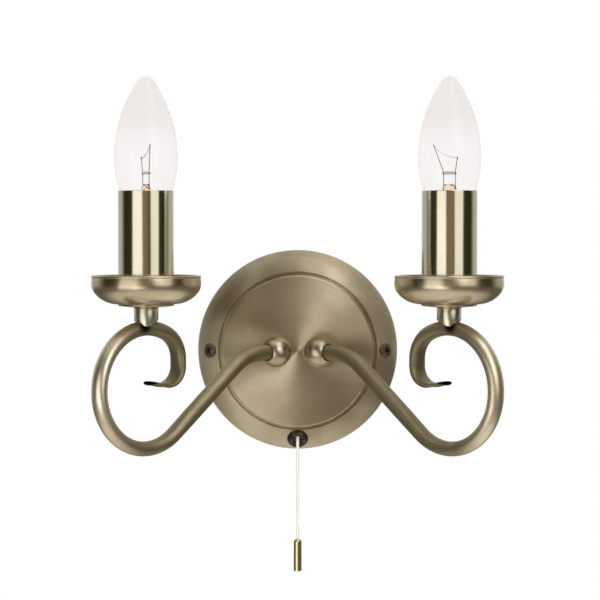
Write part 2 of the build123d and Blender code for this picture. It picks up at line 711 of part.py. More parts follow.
def arm_route(side, aside=0.0):
    """The runs and bends of the tube's middle line, in order, as edges."""
    fall = radians(FALL_ANGLE)
    ring_start = (RING_REACH - RING_RADIUS * sin(fall), -RING_DROP - RING_RADIUS * cos(fall))
    root_end = ROOT_CORNER - ROOT_BEND_RADIUS * tan(fall / 2)
    with BuildLine(arm_plane(side, aside)):
        root = Line((SOCKET_START, 0), (root_end, 0))
        bend = JernArc((root_end, 0), (1, 0), ROOT_BEND_RADIUS, -FALL_ANGLE)
        turned = (
            root_end + ROOT_BEND_RADIUS * sin(fall),
            -ROOT_BEND_RADIUS * (1 - cos(fall)),
        )
        oval_start = (
            ring_start[0] - OVAL_RUN * cos(fall),
            ring_start[1] + OVAL_RUN * sin(fall),
        )
        drop = Line(turned, oval_start)
        oval = Line(oval_start, ring_start)
        ring = CenterArc(
            (RING_REACH, -RING_DROP),
            RING_RADIUS,
            -90 - FALL_ANGLE,
            180 + FALL_ANGLE + RING_PAST_TOP,
        )
    return root, bend, drop, oval, ring


def tail_route(side):
    """The curves of the tail's middle line, from the end of the ring to the tip."""
    past = radians(RING_PAST_TOP)
    start = (RING_REACH - RING_RADIUS * sin(past), -RING_DROP + RING_RADIUS * cos(past))
    curl_angle = 90 - RING_PAST_TOP
    curl_end = (
        start[0] + CURL_RADIUS * (sin(past) - 1),
        start[1] - CURL_RADIUS * cos(past),
    )
    hook_start = (curl_end[0], curl_end[1] - REACH_LENGTH)
    rise = radians(HOOK_ANGLE - 90)
    hook_end = (
        hook_start[0] + HOOK_RADIUS * (1 + sin(rise)),
        hook_start[1] - HOOK_RADIUS * cos(rise),
    )
    tip = (hook_end[0] + TIP_LENGTH * cos(rise), hook_end[1] + TIP_LENGTH * sin(rise))
    with BuildLine(arm_plane(side)):
        curl = JernArc(start, (-cos(past), -sin(past)), CURL_RADIUS, curl_angle)
        reach = Line(curl_end, hook_start)
        hook = JernArc(hook_start, (0, -1), HOOK_RADIUS, HOOK_ANGLE)
        end = Line(hook_end, tip)
    return curl, reach, hook, end


def across(edge, place, side):
    """Plane square to an edge of the route, its x axis square to the arm's plane."""
    normal = arm_plane(side).z_dir
    return Plane(origin=edge @ place, x_dir=normal, z_dir=edge % place)


def tube_outline(plane, width, thickness, squareness, channel):
    """Closed outline: an ellipse that squares up as the tube flattens, with a channel
    pressed into the face that looks into the curl."""
    points = []
    for step in range(SECTION_POINTS):
        turn = 2 * pi * step / SECTION_POINTS
        x = copysign(abs(cos(turn)) ** (2 / squareness), cos(turn)) * width / 2
        y = copysign(abs(sin(turn)) ** (2 / squareness), sin(turn)) * thickness / 2
        reach = 2 * x / (width * CHANNEL_SPREAD)
        if y > 0 and abs(reach) < 1:
            y -= channel * (1 - reach * reach) ** 2
        points.append((x, y))
    with BuildSketch(plane) as outline:
        with BuildLine():
            Spline(points, periodic=True)
        make_face()
    return outline.sketch


def round_outline(plane, radius):
    """A plain circle on a plane."""
    with BuildSketch(plane) as outline:
        Circle(radius)
    return outline.sketch


def make_rod(side, inset):
    """The arm's outline as a solid, or its bore when inset by the tube's wall."""
    root, bend, drop, oval, ring = arm_route(side)
    radius = TUBE_DIAMETER / 2 - inset
    width = RING_WIDTH - 2 * inset
    thickness = RING_THICKNESS - 2 * inset
    with BuildPart() as rod:
        for run in (root, bend, drop):
            with BuildSketch(across(run, 0, side)):
                Circle(radius)
            sweep(path=run)
        loft(
            sections=[
                round_outline(across(oval, 0, side), radius),
                tube_outline(across(oval, 1, side), width, thickness, 2, 0),
            ],
            ruled=True,
        )
        sweep(
            sections=tube_outline(across(ring, 0, side), width, thickness, 2, 0),
            path=ring,
        )
    return rod.part


def tail_place(curves, travelled):
    """The curve, and the share of its length, at a distance along the tail."""
    for curve in curves[:-1]:
        if travelled <= curve.length:
            return curve, travelled / curve.length
        travelled -= curve.length
    return curves[-1], min(travelled / curves[-1].length, 1)


def make_tail(side):
    """The flattening tail, lofted through outlines spaced evenly along its curves."""
    curves = tail_route(side)
    whole = sum(curve.length for curve in curves)
    sections = []
    for step in range(TAIL_SECTIONS + 1):
        share = step / TAIL_SECTIONS
        flat = eased(share)
        curve, place = tail_place(curves, share * whole)
        sections.append(
            tube_outline(
                across(curve, place, side),
                RING_WIDTH + (TIP_WIDTH - RING_WIDTH) * flat,
                RING_THICKNESS + (TIP_THICKNESS - RING_THICKNESS) * flat,
                2 + (TIP_SQUARENESS - 2) * flat,
                TIP_CHANNEL * flat,
            )
        )
    with BuildPart() as tail:
        loft(sections=sections)
    return tail.part


def make_arm(side, rod, name):
    """Rod and tail in one, bored for the wires, with the wire hole under the collar."""
    tip = tail_route(side)[-1]
    with BuildPart() as arm:
        add(rod)
        add(make_tail(side))
        add(make_rod(side, TUBE_WALL), mode=Mode.SUBTRACT)
        with BuildSketch(candle_plane(side, RING_TOP)):
            Circle(WIRE_HOLE_DIAMETER / 2)
        extrude(amount=RING_THICKNESS, mode=Mode.SUBTRACT)
        with BuildSketch(across(tip, 1, side)):
            with Locations((0, -TIP_CHANNEL / 2)):
                Rectangle(TIP_SLIT_WIDTH, TIP_SLIT_HEIGHT)
        extrude(amount=-TIP_SLIT_DEPTH, mode=Mode.SUBTRACT)
    finish(arm.part, name)


def make_collar(side, rod, name):
    """Short collar, saddled onto the ring's tube, that takes the nipple's foot."""
    skirt = RING_TOP + RING_THICKNESS / 2 - COLLAR_SKIRT
    with BuildPart() as collar:
        with BuildSketch(candle_plane(side, skirt)):
            Circle(COLLAR_DIAMETER / 2)
        extrude(amount=COLLAR_TOP - skirt)
        add(rod, mode=Mode.SUBTRACT)
        with BuildSketch(candle_plane(side, RING_TOP)):
            Circle(WIRE_HOLE_DIAMETER / 2)
        extrude(amount=NIPPLE_FOOT - RING_TOP, mode=Mode.SUBTRACT)
        with BuildSketch(candle_plane(side, NIPPLE_FOOT)):
            Circle(NIPPLE_DIAMETER / 2 + FIT_GAP)
        extrude(amount=COLLAR_TOP - NIPPLE_FOOT, mode=Mode.SUBTRACT)
    finish(collar.part, name)


for name, side in SIDES.items():
    rod = make_rod(side, 0)
    make_arm(side, rod, f"arm_{name}")
    make_collar(side, rod, f"collar_{name}")


def make_wires(side, name):
    """Live and neutral, from the terminals through knuckle, arm and nipple to the lampholder."""
    wires_top = HOLDER_SHOULDER + WIRE_SLOT_DEPTH
    turn_radius = RING_RADIUS + WIRE_RISE_BEND
    turn_angle = asin(WIRE_RISE_BEND / turn_radius)
    with BuildPart() as wires:
        for aside in (-WIRE_SPACING / 2, WIRE_SPACING / 2):
            root, bend, drop, oval, _ = arm_route(side, aside)
            x = side * KNUCKLE_X + aside
            y = -BALL_OUT + aside * side * tan(radians((90 - ARM_ANGLE) / 2))
            with BuildLine():
                lead = FilletPolyline(
                    (x, -WIRE_OUT, block_foot + wire_entry),
                    (x, -WIRE_OUT, 0),
                    (x, y, 0),
                    root @ 1,
                    radius=WIRE_BEND,
                )
            with BuildLine(arm_plane(side, aside)):
                ring = CenterArc(
                    (RING_REACH, -RING_DROP),
                    RING_RADIUS,
                    -90 - FALL_ANGLE,
                    180 + FALL_ANGLE - turn_angle * 180 / pi,
                )
                rise = CenterArc(
                    (RING_REACH + WIRE_RISE_BEND, -RING_DROP + turn_radius * cos(turn_angle)),
                    WIRE_RISE_BEND,
                    270 - turn_angle * 180 / pi,
                    turn_angle * 180 / pi - 90,
                )
                top = Line(
                    (RING_REACH, -RING_DROP + turn_radius * cos(turn_angle)),
                    (RING_REACH, wires_top),
                )
            pieces = [*lead.edges(), bend, drop, oval, ring, rise, top]
            route = Wire(pieces)
            with BuildSketch(Plane(origin=(x, -WIRE_OUT, block_foot + wire_entry), z_dir=(0, 0, -1))):
                Circle(WIRE_DIAMETER / 2)
            sweep(path=route)
            print(f"{name}: {route.length:.0f} mm long, bends {WIRE_BEND} and {WIRE_RISE_BEND} mm")
    finish(wires.part, name)


for name, side in SIDES.items():
    make_wires(side, f"arm_wires_{name}")


# ---- Pan, candle and lampholder, turned about each candle's axis --------------------

def ring_piece(side, foot, height, outer, bore, name):
    """A plain turned ring."""
    with BuildPart() as piece:
        with BuildSketch(candle_plane(side, foot)):
            Circle(outer / 2)
            Circle(bore / 2, mode=Mode.SUBTRACT)
        extrude(amount=height)
    finish(piece.part, name)


def make_washer(side, name):
    """Dished washer under the pan, with a rounded edge."""
    hole = NIPPLE_DIAMETER / 2 + FIT_GAP
    rim = WASHER_DIAMETER / 2
    with BuildPart() as washer:
        with BuildSketch(candle_profile(side)):
            with BuildLine():
                top = Line((hole, WASHER_TOP), (rim - WASHER_EDGE / 3, WASHER_TOP))
                edge = ThreePointArc(
                    top @ 1,
                    (rim, WASHER_TOP - WASHER_EDGE / 2),
                    (rim - WASHER_EDGE / 3, WASHER_TOP - WASHER_EDGE),
                )
                under = ThreePointArc(
                    edge @ 1,
                    ((rim + hole) / 2, COLLAR_TOP + WASHER_DISH * 0.25),
                    (hole, COLLAR_TOP),
                )
                Line(under @ 1, top @ 0)
            make_face()
        revolve(axis=candle_axis(side))
    finish(washer.part, name)


def make_pan(side, name):
    """Spun drip pan: flat floor, round bowl, lip leaning in to a rolled bead."""
    with BuildPart() as pan:
        with BuildSketch(candle_profile(side)):
            with BuildLine():
                floor = Line((NIPPLE_DIAMETER / 2 + FIT_GAP, WASHER_TOP), (PAN_BOTTOM_RADIUS, WASHER_TOP))
                bowl = JernArc(floor @ 1, (1, 0), PAN_BOWL_RADIUS, PAN_BOWL_ANGLE)
                wall = JernArc(bowl @ 1, bowl % 1, PAN_SIDE_RADIUS, 90 - PAN_BOWL_ANGLE)
                lip = JernArc(wall @ 1, wall % 1, PAN_LIP_RADIUS, PAN_LIP_ANGLE)
                inner_lip = JernArc(
                    (lip @ 1) + (lip % 1).rotate(Axis.Z, 90) * PAN_WALL,
                    -(lip % 1),
                    PAN_LIP_RADIUS - PAN_WALL,
                    -PAN_LIP_ANGLE,
                )
                inner_wall = JernArc(
                    inner_lip @ 1, inner_lip % 1, PAN_SIDE_RADIUS - PAN_WALL, PAN_BOWL_ANGLE - 90
                )
                inner_bowl = JernArc(
                    inner_wall @ 1, inner_wall % 1, PAN_BOWL_RADIUS - PAN_WALL, -PAN_BOWL_ANGLE
                )
                Line(lip @ 1, inner_lip @ 0)
                inner_floor = Line(inner_bowl @ 1, (NIPPLE_DIAMETER / 2 + FIT_GAP, PAN_FLOOR))
                Line(inner_floor @ 1, floor @ 0)
            make_face()
            with Locations(((lip @ 1) + (inner_lip @ 0)) / 2):
                Circle(PAN_BEAD)
        revolve(axis=candle_axis(side))
    finish(pan.part, name)


def make_candle_tube(side, name):
    """Candle tube, standing on the pan's floor round the seat ring."""
    with BuildPart() as tube:
        with BuildSketch(candle_plane(side, PAN_FLOOR)):
            Circle(CANDLE_DIAMETER / 2)
            Circle(CANDLE_DIAMETER / 2 - CANDLE_WALL, mode=Mode.SUBTRACT)
        extrude(amount=CANDLE_LENGTH)
        fillet(tube.edges().group_by(Axis.Z)[-1], CANDLE_MOUTH_FILLET)
    finish(tube.part, name)


def make_lampholder(side, name):
    """Moulded holder: a neck threaded for the nipple, a cup for the shell, wire way between."""
    wall_radius = SHELL_DIAMETER / 2 + FIT_GAP
    with BuildPart() as holder:
        with BuildSketch(candle_plane(side, HOLDER_FOOT)):
            Circle(HOLDER_NECK_DIAMETER / 2)
        extrude(amount=HOLDER_NECK_HEIGHT)
        with BuildSketch(candle_plane(side, HOLDER_SHOULDER)):
            Circle(HOLDER_DIAMETER / 2)
        extrude(amount=HOLDER_HEIGHT)
        fillet(holder.edges().group_by(Axis.Z)[-1], 1.0)
        with BuildSketch(candle_plane(side, HOLDER_CUP)):
            Circle(wall_radius)
        extrude(amount=HOLDER_HEIGHT, mode=Mode.SUBTRACT)
        with BuildSketch(candle_plane(side, HOLDER_FOOT)):
            Circle(NIPPLE_DIAMETER / 2 + FIT_GAP)
        extrude(amount=HOLDER_NECK_HEIGHT, mode=Mode.SUBTRACT)
        with BuildSketch(candle_plane(side, HOLDER_SHOULDER)):
            SlotOverall(WIRE_SLOT_LENGTH, WIRE_SLOT_WIDTH)
        extrude(amount=WIRE_SLOT_DEPTH, mode=Mode.SUBTRACT)
    finish(holder.part, name)


def make_contact(side, name):
    """Centre contact on its rivet, standing on the holder's floor."""
    with BuildPart() as contact:
        with BuildSketch(candle_plane(side, HOLDER_CUP)):
            Circle(CONTACT_PIN_DIAMETER / 2)
        extrude(amount=CONTACT_LIFT)
        with BuildSketch(candle_plane(side, HOLDER_CUP + CONTACT_LIFT)):
            RectangleRounded(CONTACT_WIDTH, CONTACT_WIDTH, 1.0)
        extrude(amount=CONTACT_THICKNESS)
    finish(contact.part, name)


for name, side in SIDES.items():
    nipple_hole = NIPPLE_DIAMETER + 2 * FIT_GAP
    seat_diameter = CANDLE_DIAMETER - 2 * CANDLE_WALL - 2 * FIT_GAP
    nipple_top = NIPPLE_FOOT + NIPPLE_LENGTH
    ring_piece(side, NIPPLE_FOOT, NIPPLE_LENGTH, NIPPLE_DIAMETER, NIPPLE_BORE, f"nipple_{name}")
    make_washer(side, f"pan_washer_{name}")
    make_pan(side, f"drip_pan_{name}")
    ring_piece(side, PAN_FLOOR, SEAT_THICKNESS, seat_diameter, nipple_hole, f"tube_seat_{name}")
    make_candle_tube(side, f"candle_tube_{name}")
    make_lampholder(side, f"lampholder_{name}")
    ring_piece(
        side,
        HOLDER_CUP + SHELL_START,
        SHELL_HEIGHT,
        SHELL_DIAMETER,
        SHELL_DIAMETER - 2 * SHELL_WALL,
        f"socket_shell_{name}",
    )
    make_contact(side, f"socket_contact_{name}")

with BuildPart() as candle_locknuts:
    for side in SIDES.values():
        with BuildSketch(candle_plane(side, SEAT_TOP)):
            RegularPolygon(NUT_FLATS / 2, 6, major_radius=False)
            Circle(NIPPLE_DIAMETER / 2 + FIT_GAP, mode=Mode.SUBTRACT)
        extrude(amount=NUT_THICKNESS)
finish(candle_locknuts.part, "candle_locknuts")


# ---- Lamps --------------------------------------------------------------------------

def lamp_outline(radius_at_widest, inset):
    """Half outline of the glass on the profile plane, from its neck to its nose."""
    widest = (radius_at_widest, LAMP_FOOT + LAMP_WIDEST)
    shoulder = JernArc(widest, (0, 1), LAMP_SHOULDER_RADIUS - inset, LAMP_SHOULDER_ANGLE)
    nose_line = Line(shoulder @ 1, (shoulder @ 1) + (shoulder % 1) * LAMP_NOSE_RUN)
    nose_radius = (nose_line @ 1).X / cos(radians(LAMP_SHOULDER_ANGLE))
    nose = JernArc(nose_line @ 1, nose_line % 1, nose_radius, 90 - LAMP_SHOULDER_ANGLE)
    foot = JernArc(widest, (0, -1), LAMP_FOOT_RADIUS - inset, -LAMP_FOOT_ANGLE)
    neck_radius = LAMP_NECK_DIAMETER / 2 - inset
    neck = Polyline(
        foot @ 1,
        (neck_radius, LAMP_FOOT + LAMP_NECK_TOP),
        (neck_radius, LAMP_FOOT + LAMP_NECK_START),
    )
    return shoulder, nose_line, nose, foot, neck


def make_glass(side, name):
    """Clear envelope, an even shell open at the neck."""
    with BuildPart() as glass:
        with BuildSketch(candle_profile(side)):
            with BuildLine():
                outer = lamp_outline(LAMP_DIAMETER / 2, 0)
                inner = lamp_outline(LAMP_DIAMETER / 2 - LAMP_WALL, LAMP_WALL)
                Line(outer[2] @ 1, inner[2] @ 1)
                Line(outer[4] @ 1, inner[4] @ 1)
            make_face()
        revolve(axis=candle_axis(side))
    finish(glass.part, name)


def make_cap(side, name):
    """Screw cap: a thin shell, drawn in to the insulator."""
    radius = CAP_DIAMETER / 2
    with BuildPart() as cap:
        with BuildSketch(candle_profile(side)):
            with BuildLine():
                Polyline(
                    (INSULATOR_DIAMETER / 2, LAMP_FOOT + POINT_HEIGHT + 1),
                    (radius, LAMP_FOOT + CAP_START),
                    (radius, LAMP_FOOT + CAP_TOP),
                    (radius - CAP_WALL, LAMP_FOOT + CAP_TOP),
                    (radius - CAP_WALL, LAMP_FOOT + CAP_START + CAP_WALL),
                    (INSULATOR_DIAMETER / 2, LAMP_FOOT + POINT_HEIGHT + 1 + CAP_WALL),
                    close=True,
                )
            make_face()
        revolve(axis=candle_axis(side))
    finish(cap.part, name)


def make_insulator(side, name):
    """Glass insulator that closes the cap's end."""
    base = LAMP_FOOT + POINT_HEIGHT
    with BuildPart() as insulator:
        with BuildSketch(candle_profile(side)):
            with BuildLine():
                Polyline(
                    (0, base),
                    (POINT_DIAMETER / 2, base),
                    (INSULATOR_DIAMETER / 2, base + 1),
                    (INSULATOR_DIAMETER / 2, base + 1 + CAP_WALL),
                    (0, base + 1 + CAP_WALL),
                    close=True,
                )
            make_face()
        revolve(axis=candle_axis(side))
    finish(insulator.part, name)


def make_point(side, name):
    """Solder point, slightly domed."""
    with BuildPart() as point:
        with BuildSketch(candle_profile(side)):
            with BuildLine():
                level = LAMP_FOOT + POINT_HEIGHT
                arc = ThreePointArc(
                    (0, LAMP_FOOT),
                    (POINT_DIAMETER * 0.3, LAMP_FOOT + POINT_HEIGHT * 0.2),
                    (POINT_DIAMETER / 2, level),
                )
                Polyline(arc @ 1, (0, level), (0, LAMP_FOOT))
            make_face()
        revolve(axis=candle_axis(side))
    finish(point.part, name)


def mount_plane(side, turn, height):
    """Level plane on the lamp's axis, turned as the lamp was screwed home."""
    angle = radians(turn)
    return Plane(
        origin=(side * CANDLE_X, -CANDLE_OUT, LAMP_FOOT + height),
        x_dir=(cos(angle), sin(angle), 0),
        z_dir=(0, 0, 1),
    )


def make_stem(side, turn, name):
    """Glass stem: a tube seated in the neck, pinched flat at its top, and the bead bar."""
    with BuildPart() as stem:
        with BuildSketch(mount_plane(side, turn, LAMP_NECK_START)):
            Circle(LAMP_NECK_DIAMETER / 2 - LAMP_WALL - FIT_GAP)
        with BuildSketch(mount_plane(side, turn, LAMP_NECK_START + STEM_FLARE)):
            Circle(STEM_DIAMETER / 2)
        loft()
        with BuildSketch(mount_plane(side, turn, LAMP_NECK_START + STEM_FLARE)):
            Circle(STEM_DIAMETER / 2)
        extrude(amount=STEM_TOP - PINCH_HEIGHT - LAMP_NECK_START - STEM_FLARE)
        with BuildSketch(mount_plane(side, turn, STEM_TOP - PINCH_HEIGHT)):
            Circle(STEM_DIAMETER / 2)
        with BuildSketch(mount_plane(side, turn, STEM_TOP)):
            Ellipse(PINCH_WIDTH / 2, PINCH_THICKNESS / 2)
        loft()
        with BuildSketch(mount_plane(side, turn, BEAD_HEIGHT - BEAD_THICKNESS / 2)):
            SlotOverall(BEAD_LENGTH, BEAD_THICKNESS)
        extrude(amount=BEAD_THICKNESS)
        with BuildSketch(mount_plane(side, turn, STEM_TOP)):
            with Locations((-LEAD_SPACING / 2, 0), (LEAD_SPACING / 2, 0)):
                Circle(LEAD_DIAMETER / 2)
        extrude(amount=BEAD_HEIGHT, mode=Mode.SUBTRACT)
    finish(stem.part, name)


def make_leads(side, turn, name):
    """The two lead wires, from the pinch through the bead bar and on up, spread apart."""
    along = mount_plane(side, turn, 0)
    upright = Plane(along.origin, x_dir=along.x_dir, z_dir=along.x_dir.cross(Vector(0, 0, 1)))
    half = LEAD_SPACING / 2
    with BuildPart() as leads:
        for foot, top, spread in (
            (-half, LONG_LEAD_TOP, -half - LONG_LEAD_SPREAD),
            (half, SHORT_LEAD_TOP, half + SHORT_LEAD_SPREAD),
        ):
            with BuildLine(upright):
                route = FilletPolyline(
                    (foot, STEM_TOP),
                    (foot, BEAD_HEIGHT + BEAD_THICKNESS),
                    (spread, top),
                    radius=2 * LEAD_DIAMETER,
                )
            with BuildSketch(Plane(origin=route @ 0, z_dir=(0, 0, 1))):
                Circle(LEAD_DIAMETER / 2)
            sweep(path=route.wire())
    finish(leads.part, name)


for name, side in SIDES.items():
    turn = LAMP_TURN[name]
    make_glass(side, f"lamp_glass_{name}")
    make_cap(side, f"lamp_cap_{name}")
    make_insulator(side, f"lamp_insulator_{name}")
    make_point(side, f"lamp_point_{name}")
    make_stem(side, turn, f"lamp_stem_{name}")
    make_leads(side, turn, f"lamp_leads_{name}")
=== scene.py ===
"""Looks of a double arm wall light: antique brass, clear candle lamps, a pull cord.

Metres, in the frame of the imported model: the wall is the plane y = 0, +Z is up, and the
light stands out along -Y. The add-on lists one operator for each group of pieces.
"""

from math import atan, cos, pi, radians, sin

import bpy
import numpy as np
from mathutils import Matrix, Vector


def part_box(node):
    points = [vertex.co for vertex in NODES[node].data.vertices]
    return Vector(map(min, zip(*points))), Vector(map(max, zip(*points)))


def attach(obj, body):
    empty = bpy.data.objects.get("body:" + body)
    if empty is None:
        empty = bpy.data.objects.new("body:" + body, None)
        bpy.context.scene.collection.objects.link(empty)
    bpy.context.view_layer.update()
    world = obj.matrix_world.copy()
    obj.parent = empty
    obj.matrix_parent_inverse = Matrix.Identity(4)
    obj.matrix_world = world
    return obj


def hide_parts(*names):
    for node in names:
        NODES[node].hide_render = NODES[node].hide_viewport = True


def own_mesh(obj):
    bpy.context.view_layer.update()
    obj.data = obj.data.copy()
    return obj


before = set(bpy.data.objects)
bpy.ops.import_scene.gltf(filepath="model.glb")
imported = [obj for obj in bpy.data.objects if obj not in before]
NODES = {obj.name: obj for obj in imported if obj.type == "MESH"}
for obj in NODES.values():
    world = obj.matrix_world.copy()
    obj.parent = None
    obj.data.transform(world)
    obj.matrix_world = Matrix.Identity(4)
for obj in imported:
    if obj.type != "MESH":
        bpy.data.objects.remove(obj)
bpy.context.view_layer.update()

bl_info = {
    "name": "Twin-arm wall light",
    "version": (1, 0, 0),
    "blender": (4, 5, 0),
    "location": "View3D > Sidebar > Wall light",
    "description": "Finishes, cord, filaments and studio for a twin-arm wall light",
    "category": "Add Mesh",
}

MM = 0.001
SIDES = ("left", "right")

# Lamps: from the short lead to the long one, in degrees on the level, and each lead's tip:
# right of and behind the lamp's middle in mm, and its height in metres
BEAD_TURN = {"left": -53.0, "right": 162.0}
LEAD_TIPS = {
    "left": ((2.9, -7.6, 0.1187), (-2.9, 3.9, 0.1121)),
    "right": ((-8.65, 2.8, 0.1187), (4.4, -1.4, 0.1121)),
}

# Brass of each kind of piece: its shares of the bright and of the dark shade, lowest and
# highest roughness, and weight of the lacquer
BRASSES = {
    "disc": (1.0, 1.0, 0.42, 0.46, 0.12),
    "pan": (1.0, 1.0, 0.28, 0.31, 0.2),
    "tube": (1.0, 0.96, 0.15, 0.16, 0.3),
    "collar": (1.0, 1.0, 0.25, 0.3, 0.2),
    "arm": (0.98, 0.96, 0.36, 0.41, 0.1),
    "ball": (0.76, 0.72, 0.30, 0.35, 0.12),
    "toggle": (1.0, 1.0, 0.2, 0.22, 0.2),
}
TOGGLE_SHADES = (0.74, 0.62, 0.34), (0.70, 0.57, 0.30)
# Arms: the distances to the side over which painted shade turns into a painted highlight,
# and the tints of the painted shade where the arm faces down and up, and of the highlight
HIGHLIGHT_NEAR, HIGHLIGHT_FAR = 0.085, 0.106
PAINTED_SHADE_UNDER, PAINTED_SHADE_OVER, PAINTED_HIGHLIGHT = (0.46, 0.45, 0.37), (0.64, 0.63, 0.56), (1.38, 1.40, 1.50)
# Near black, painted as shade at the arm's tail end, under the collar and in screw sockets
PAINTED_SHADE = (0.012, 0.010, 0.007)
# Bare metals: bright shade, dark shade, lowest and highest roughness
PLAIN_METALS = {
    "turned_brass": ((0.66, 0.50, 0.24), (0.52, 0.38, 0.17), (0.25, 0.38)),
    "zinc_plate": ((0.58, 0.58, 0.56), (0.45, 0.45, 0.43), (0.3, 0.45)),
    "bright_wire": ((0.62, 0.61, 0.59), (0.5, 0.49, 0.47), (0.15, 0.25)),
    "nickel": ((0.62, 0.59, 0.52), (0.5, 0.47, 0.41), (0.2, 0.3)),
    "lead_wire": ((0.16, 0.15, 0.145), (0.09, 0.085, 0.08), (0.45, 0.55)),
    "filament_wire": ((0.62, 0.60, 0.58), (0.5, 0.48, 0.46), (0.3, 0.4)),
}
# Bronze: how many times paler its patches are, and how fine they are
BRONZES = {"dark_bronze": (2.2, 420.0), "mottled_bronze": (7.0, 1100.0)}
# Plastics: colour, lowest roughness, and how much darker the darkest specks are
MOULDINGS = {
    "black_moulding": ((0.022, 0.021, 0.02), 0.38, 0.12),
    "white_nylon": ((0.78, 0.77, 0.73), 0.42, 0.04),
    "wire_sleeve": ((0.17, 0.085, 0.045), 0.45, 0.12),
}
# Glass: upper and lower tint, and the heights between which one turns into the other
GLASSES = {
    "clear_lamp_glass": ((0.93, 0.905, 0.895), (0.97, 0.95, 0.945), 0.116, 0.138),
    "amber_stem_glass": ((0.55, 0.46, 0.43), (0.95, 0.80, 0.58), 0.0975, 0.0985),
}

# Lamps of the studio: azimuth and elevation in degrees, width and height in metres, watts,
# and whether the metal mirrors it. Azimuth 0 is towards the camera.
SOFTBOXES = {
    "softbox_left": (-33, -27, 1.0, 2.1, 8.8, True),
    "softbox_right": (37, 34, 0.9, 2.1, 6.6, True),
    "top_light": (0, 80, 1.6, 1.0, 3.0, True),
    "upper_light": (25, 26, 0.6, 0.5, 1.6, True),
    "lower_light": (-14, -28, 0.6, 0.5, 1.3, True),
    "front_fill": (0, 20, 1.4, 1.4, 13.0, False),
}
LIGHT_MIDDLE = Vector((0, -0.05, 0.03))
FLOOR_HEIGHT = -0.55

# The photograph's view in its pixels: the frame's width, the focal length, how far the
# horizon is above the middle, and the column that the light is centred on
FRAME, FOCAL_LENGTH, HORIZON, COLUMN = 600, 1990, 60, 297.65
SENSOR = 36  # mm

X, Y, UP = np.eye(3)


def upright(node):
    """Where the upright axis of a round node meets the level z = 0."""
    low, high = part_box(node)
    return np.array([(low.x + high.x) / 2, (low.y + high.y) / 2, 0.0])


def corners_of(node):
    """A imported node's vertices, one in a row."""
    return np.array([corner.co for corner in NODES[node].data.vertices])


# ---- Settings -----------------------------------------------------------------------

def shade(name, description, default):
    """A colour setting."""
    return bpy.props.FloatVectorProperty(
        name=name, description=description, default=default,
        size=3, min=0, max=1, subtype="COLOR",
    )


class WallLightFinish(bpy.types.PropertyGroup):
    """Colours of the metals and the cord."""

    brass: shade("Brass", "Satin brass where it is bright", (0.69, 0.605, 0.424))
    patina: shade("Patina", "Satin brass where it has darkened", (0.585, 0.485, 0.324))
    polish: shade("Polished brass", "Brass of the candle tubes", (0.71, 0.66, 0.495))
    bronze: shade("Dark bronze", "Cover screws and the cord's bush", (0.022, 0.016, 0.009))
    thread: shade("Cord", "Yarn of the pull cord", (0.88, 0.86, 0.78))


class WallLightSizes(bpy.types.PropertyGroup):
    """Sizes of the pieces that only the looks have."""

    cord: bpy.props.FloatProperty(
        name="Cord", description="Thickness of the pull cord",
        default=1.8 * MM, unit="LENGTH",
    )
    filament: bpy.props.FloatProperty(
        name="Filament wire", description="Thickness of the lamps' filament wire",
        default=0.1 * MM, unit="LENGTH",
    )
    lead: bpy.props.FloatProperty(
        name="Lead wire", description="Thickness of the wires that hold the filament",
        default=0.42 * MM, unit="LENGTH",
    )
    coil: bpy.props.FloatProperty(
        name="Filament coil", description="Radius of the filament's coil",
        default=0.22 * MM, unit="LENGTH",
    )
    camera_out: bpy.props.FloatProperty(
        name="Camera distance", description="From the wall to the camera",
        default=1.2, unit="LENGTH",
    )
    camera_height: bpy.props.FloatProperty(
        name="Camera height", description="Above the middle of the wall plate",
        default=66 * MM, unit="LENGTH",
    )


# ---- Node helpers -------------------------------------------------------------------

def add_node(tree, kind, inputs=None, **settings):
    """Adds a node, sets its properties, and fills or links its inputs."""
    made = tree.nodes.new(kind)
    for name, value in settings.items():
        setattr(made, name, value)
    for name, value in (inputs or {}).items():
        if isinstance(value, bpy.types.NodeSocket):
            tree.links.new(value, made.inputs[name])
        else:
            made.inputs[name].default_value = value
    return made


def math_node(tree, operation, *values):
    """A Math node's result."""
    return add_node(
        tree, "ShaderNodeMath", dict(enumerate(values)), operation=operation
    ).outputs[0]


def spread(tree, value, low, high, to_low=0.0, to_high=1.0):
    """A value carried from one range to another, smoothly and with its ends held."""
    ranges = {"From Min": low, "From Max": high, "To Min": to_low, "To Max": to_high}
    return add_node(
        tree, "ShaderNodeMapRange", {"Value": value, **ranges},
        interpolation_type="SMOOTHSTEP",
    ).outputs[0]


def mixed(tree, share, first, second):
    """A colour between two."""
    made = add_node(tree, "ShaderNodeMix", data_type="RGBA")
    for index, value in ((0, share), (6, first), (7, second)):
        if isinstance(value, bpy.types.NodeSocket):
            tree.links.new(value, made.inputs[index])
        else:
            made.inputs[index].default_value = value
    return made.outputs[2]


def rgba(colour, factor=1.0):
    """A colour times a factor, with full alpha."""
    return (*[factor * v for v in colour[:3]], 1.0)


def noise(tree, place, scale, **settings):
    """Noise read at a place."""
    inputs = {"Vector": place, "Scale": scale, **settings}
    return add_node(tree, "ShaderNodeTexNoise", inputs).outputs["Fac"]


def split(tree, vector):
    """A vector's three parts."""
    return add_node(tree, "ShaderNodeSeparateXYZ", {"Vector": vector}).outputs


def distance(tree, place, point):
    """How far a place is from a point."""
    made = add_node(tree, "ShaderNodeVectorMath", {0: place, 1: point}, operation="DISTANCE")
    return made.outputs["Value"]


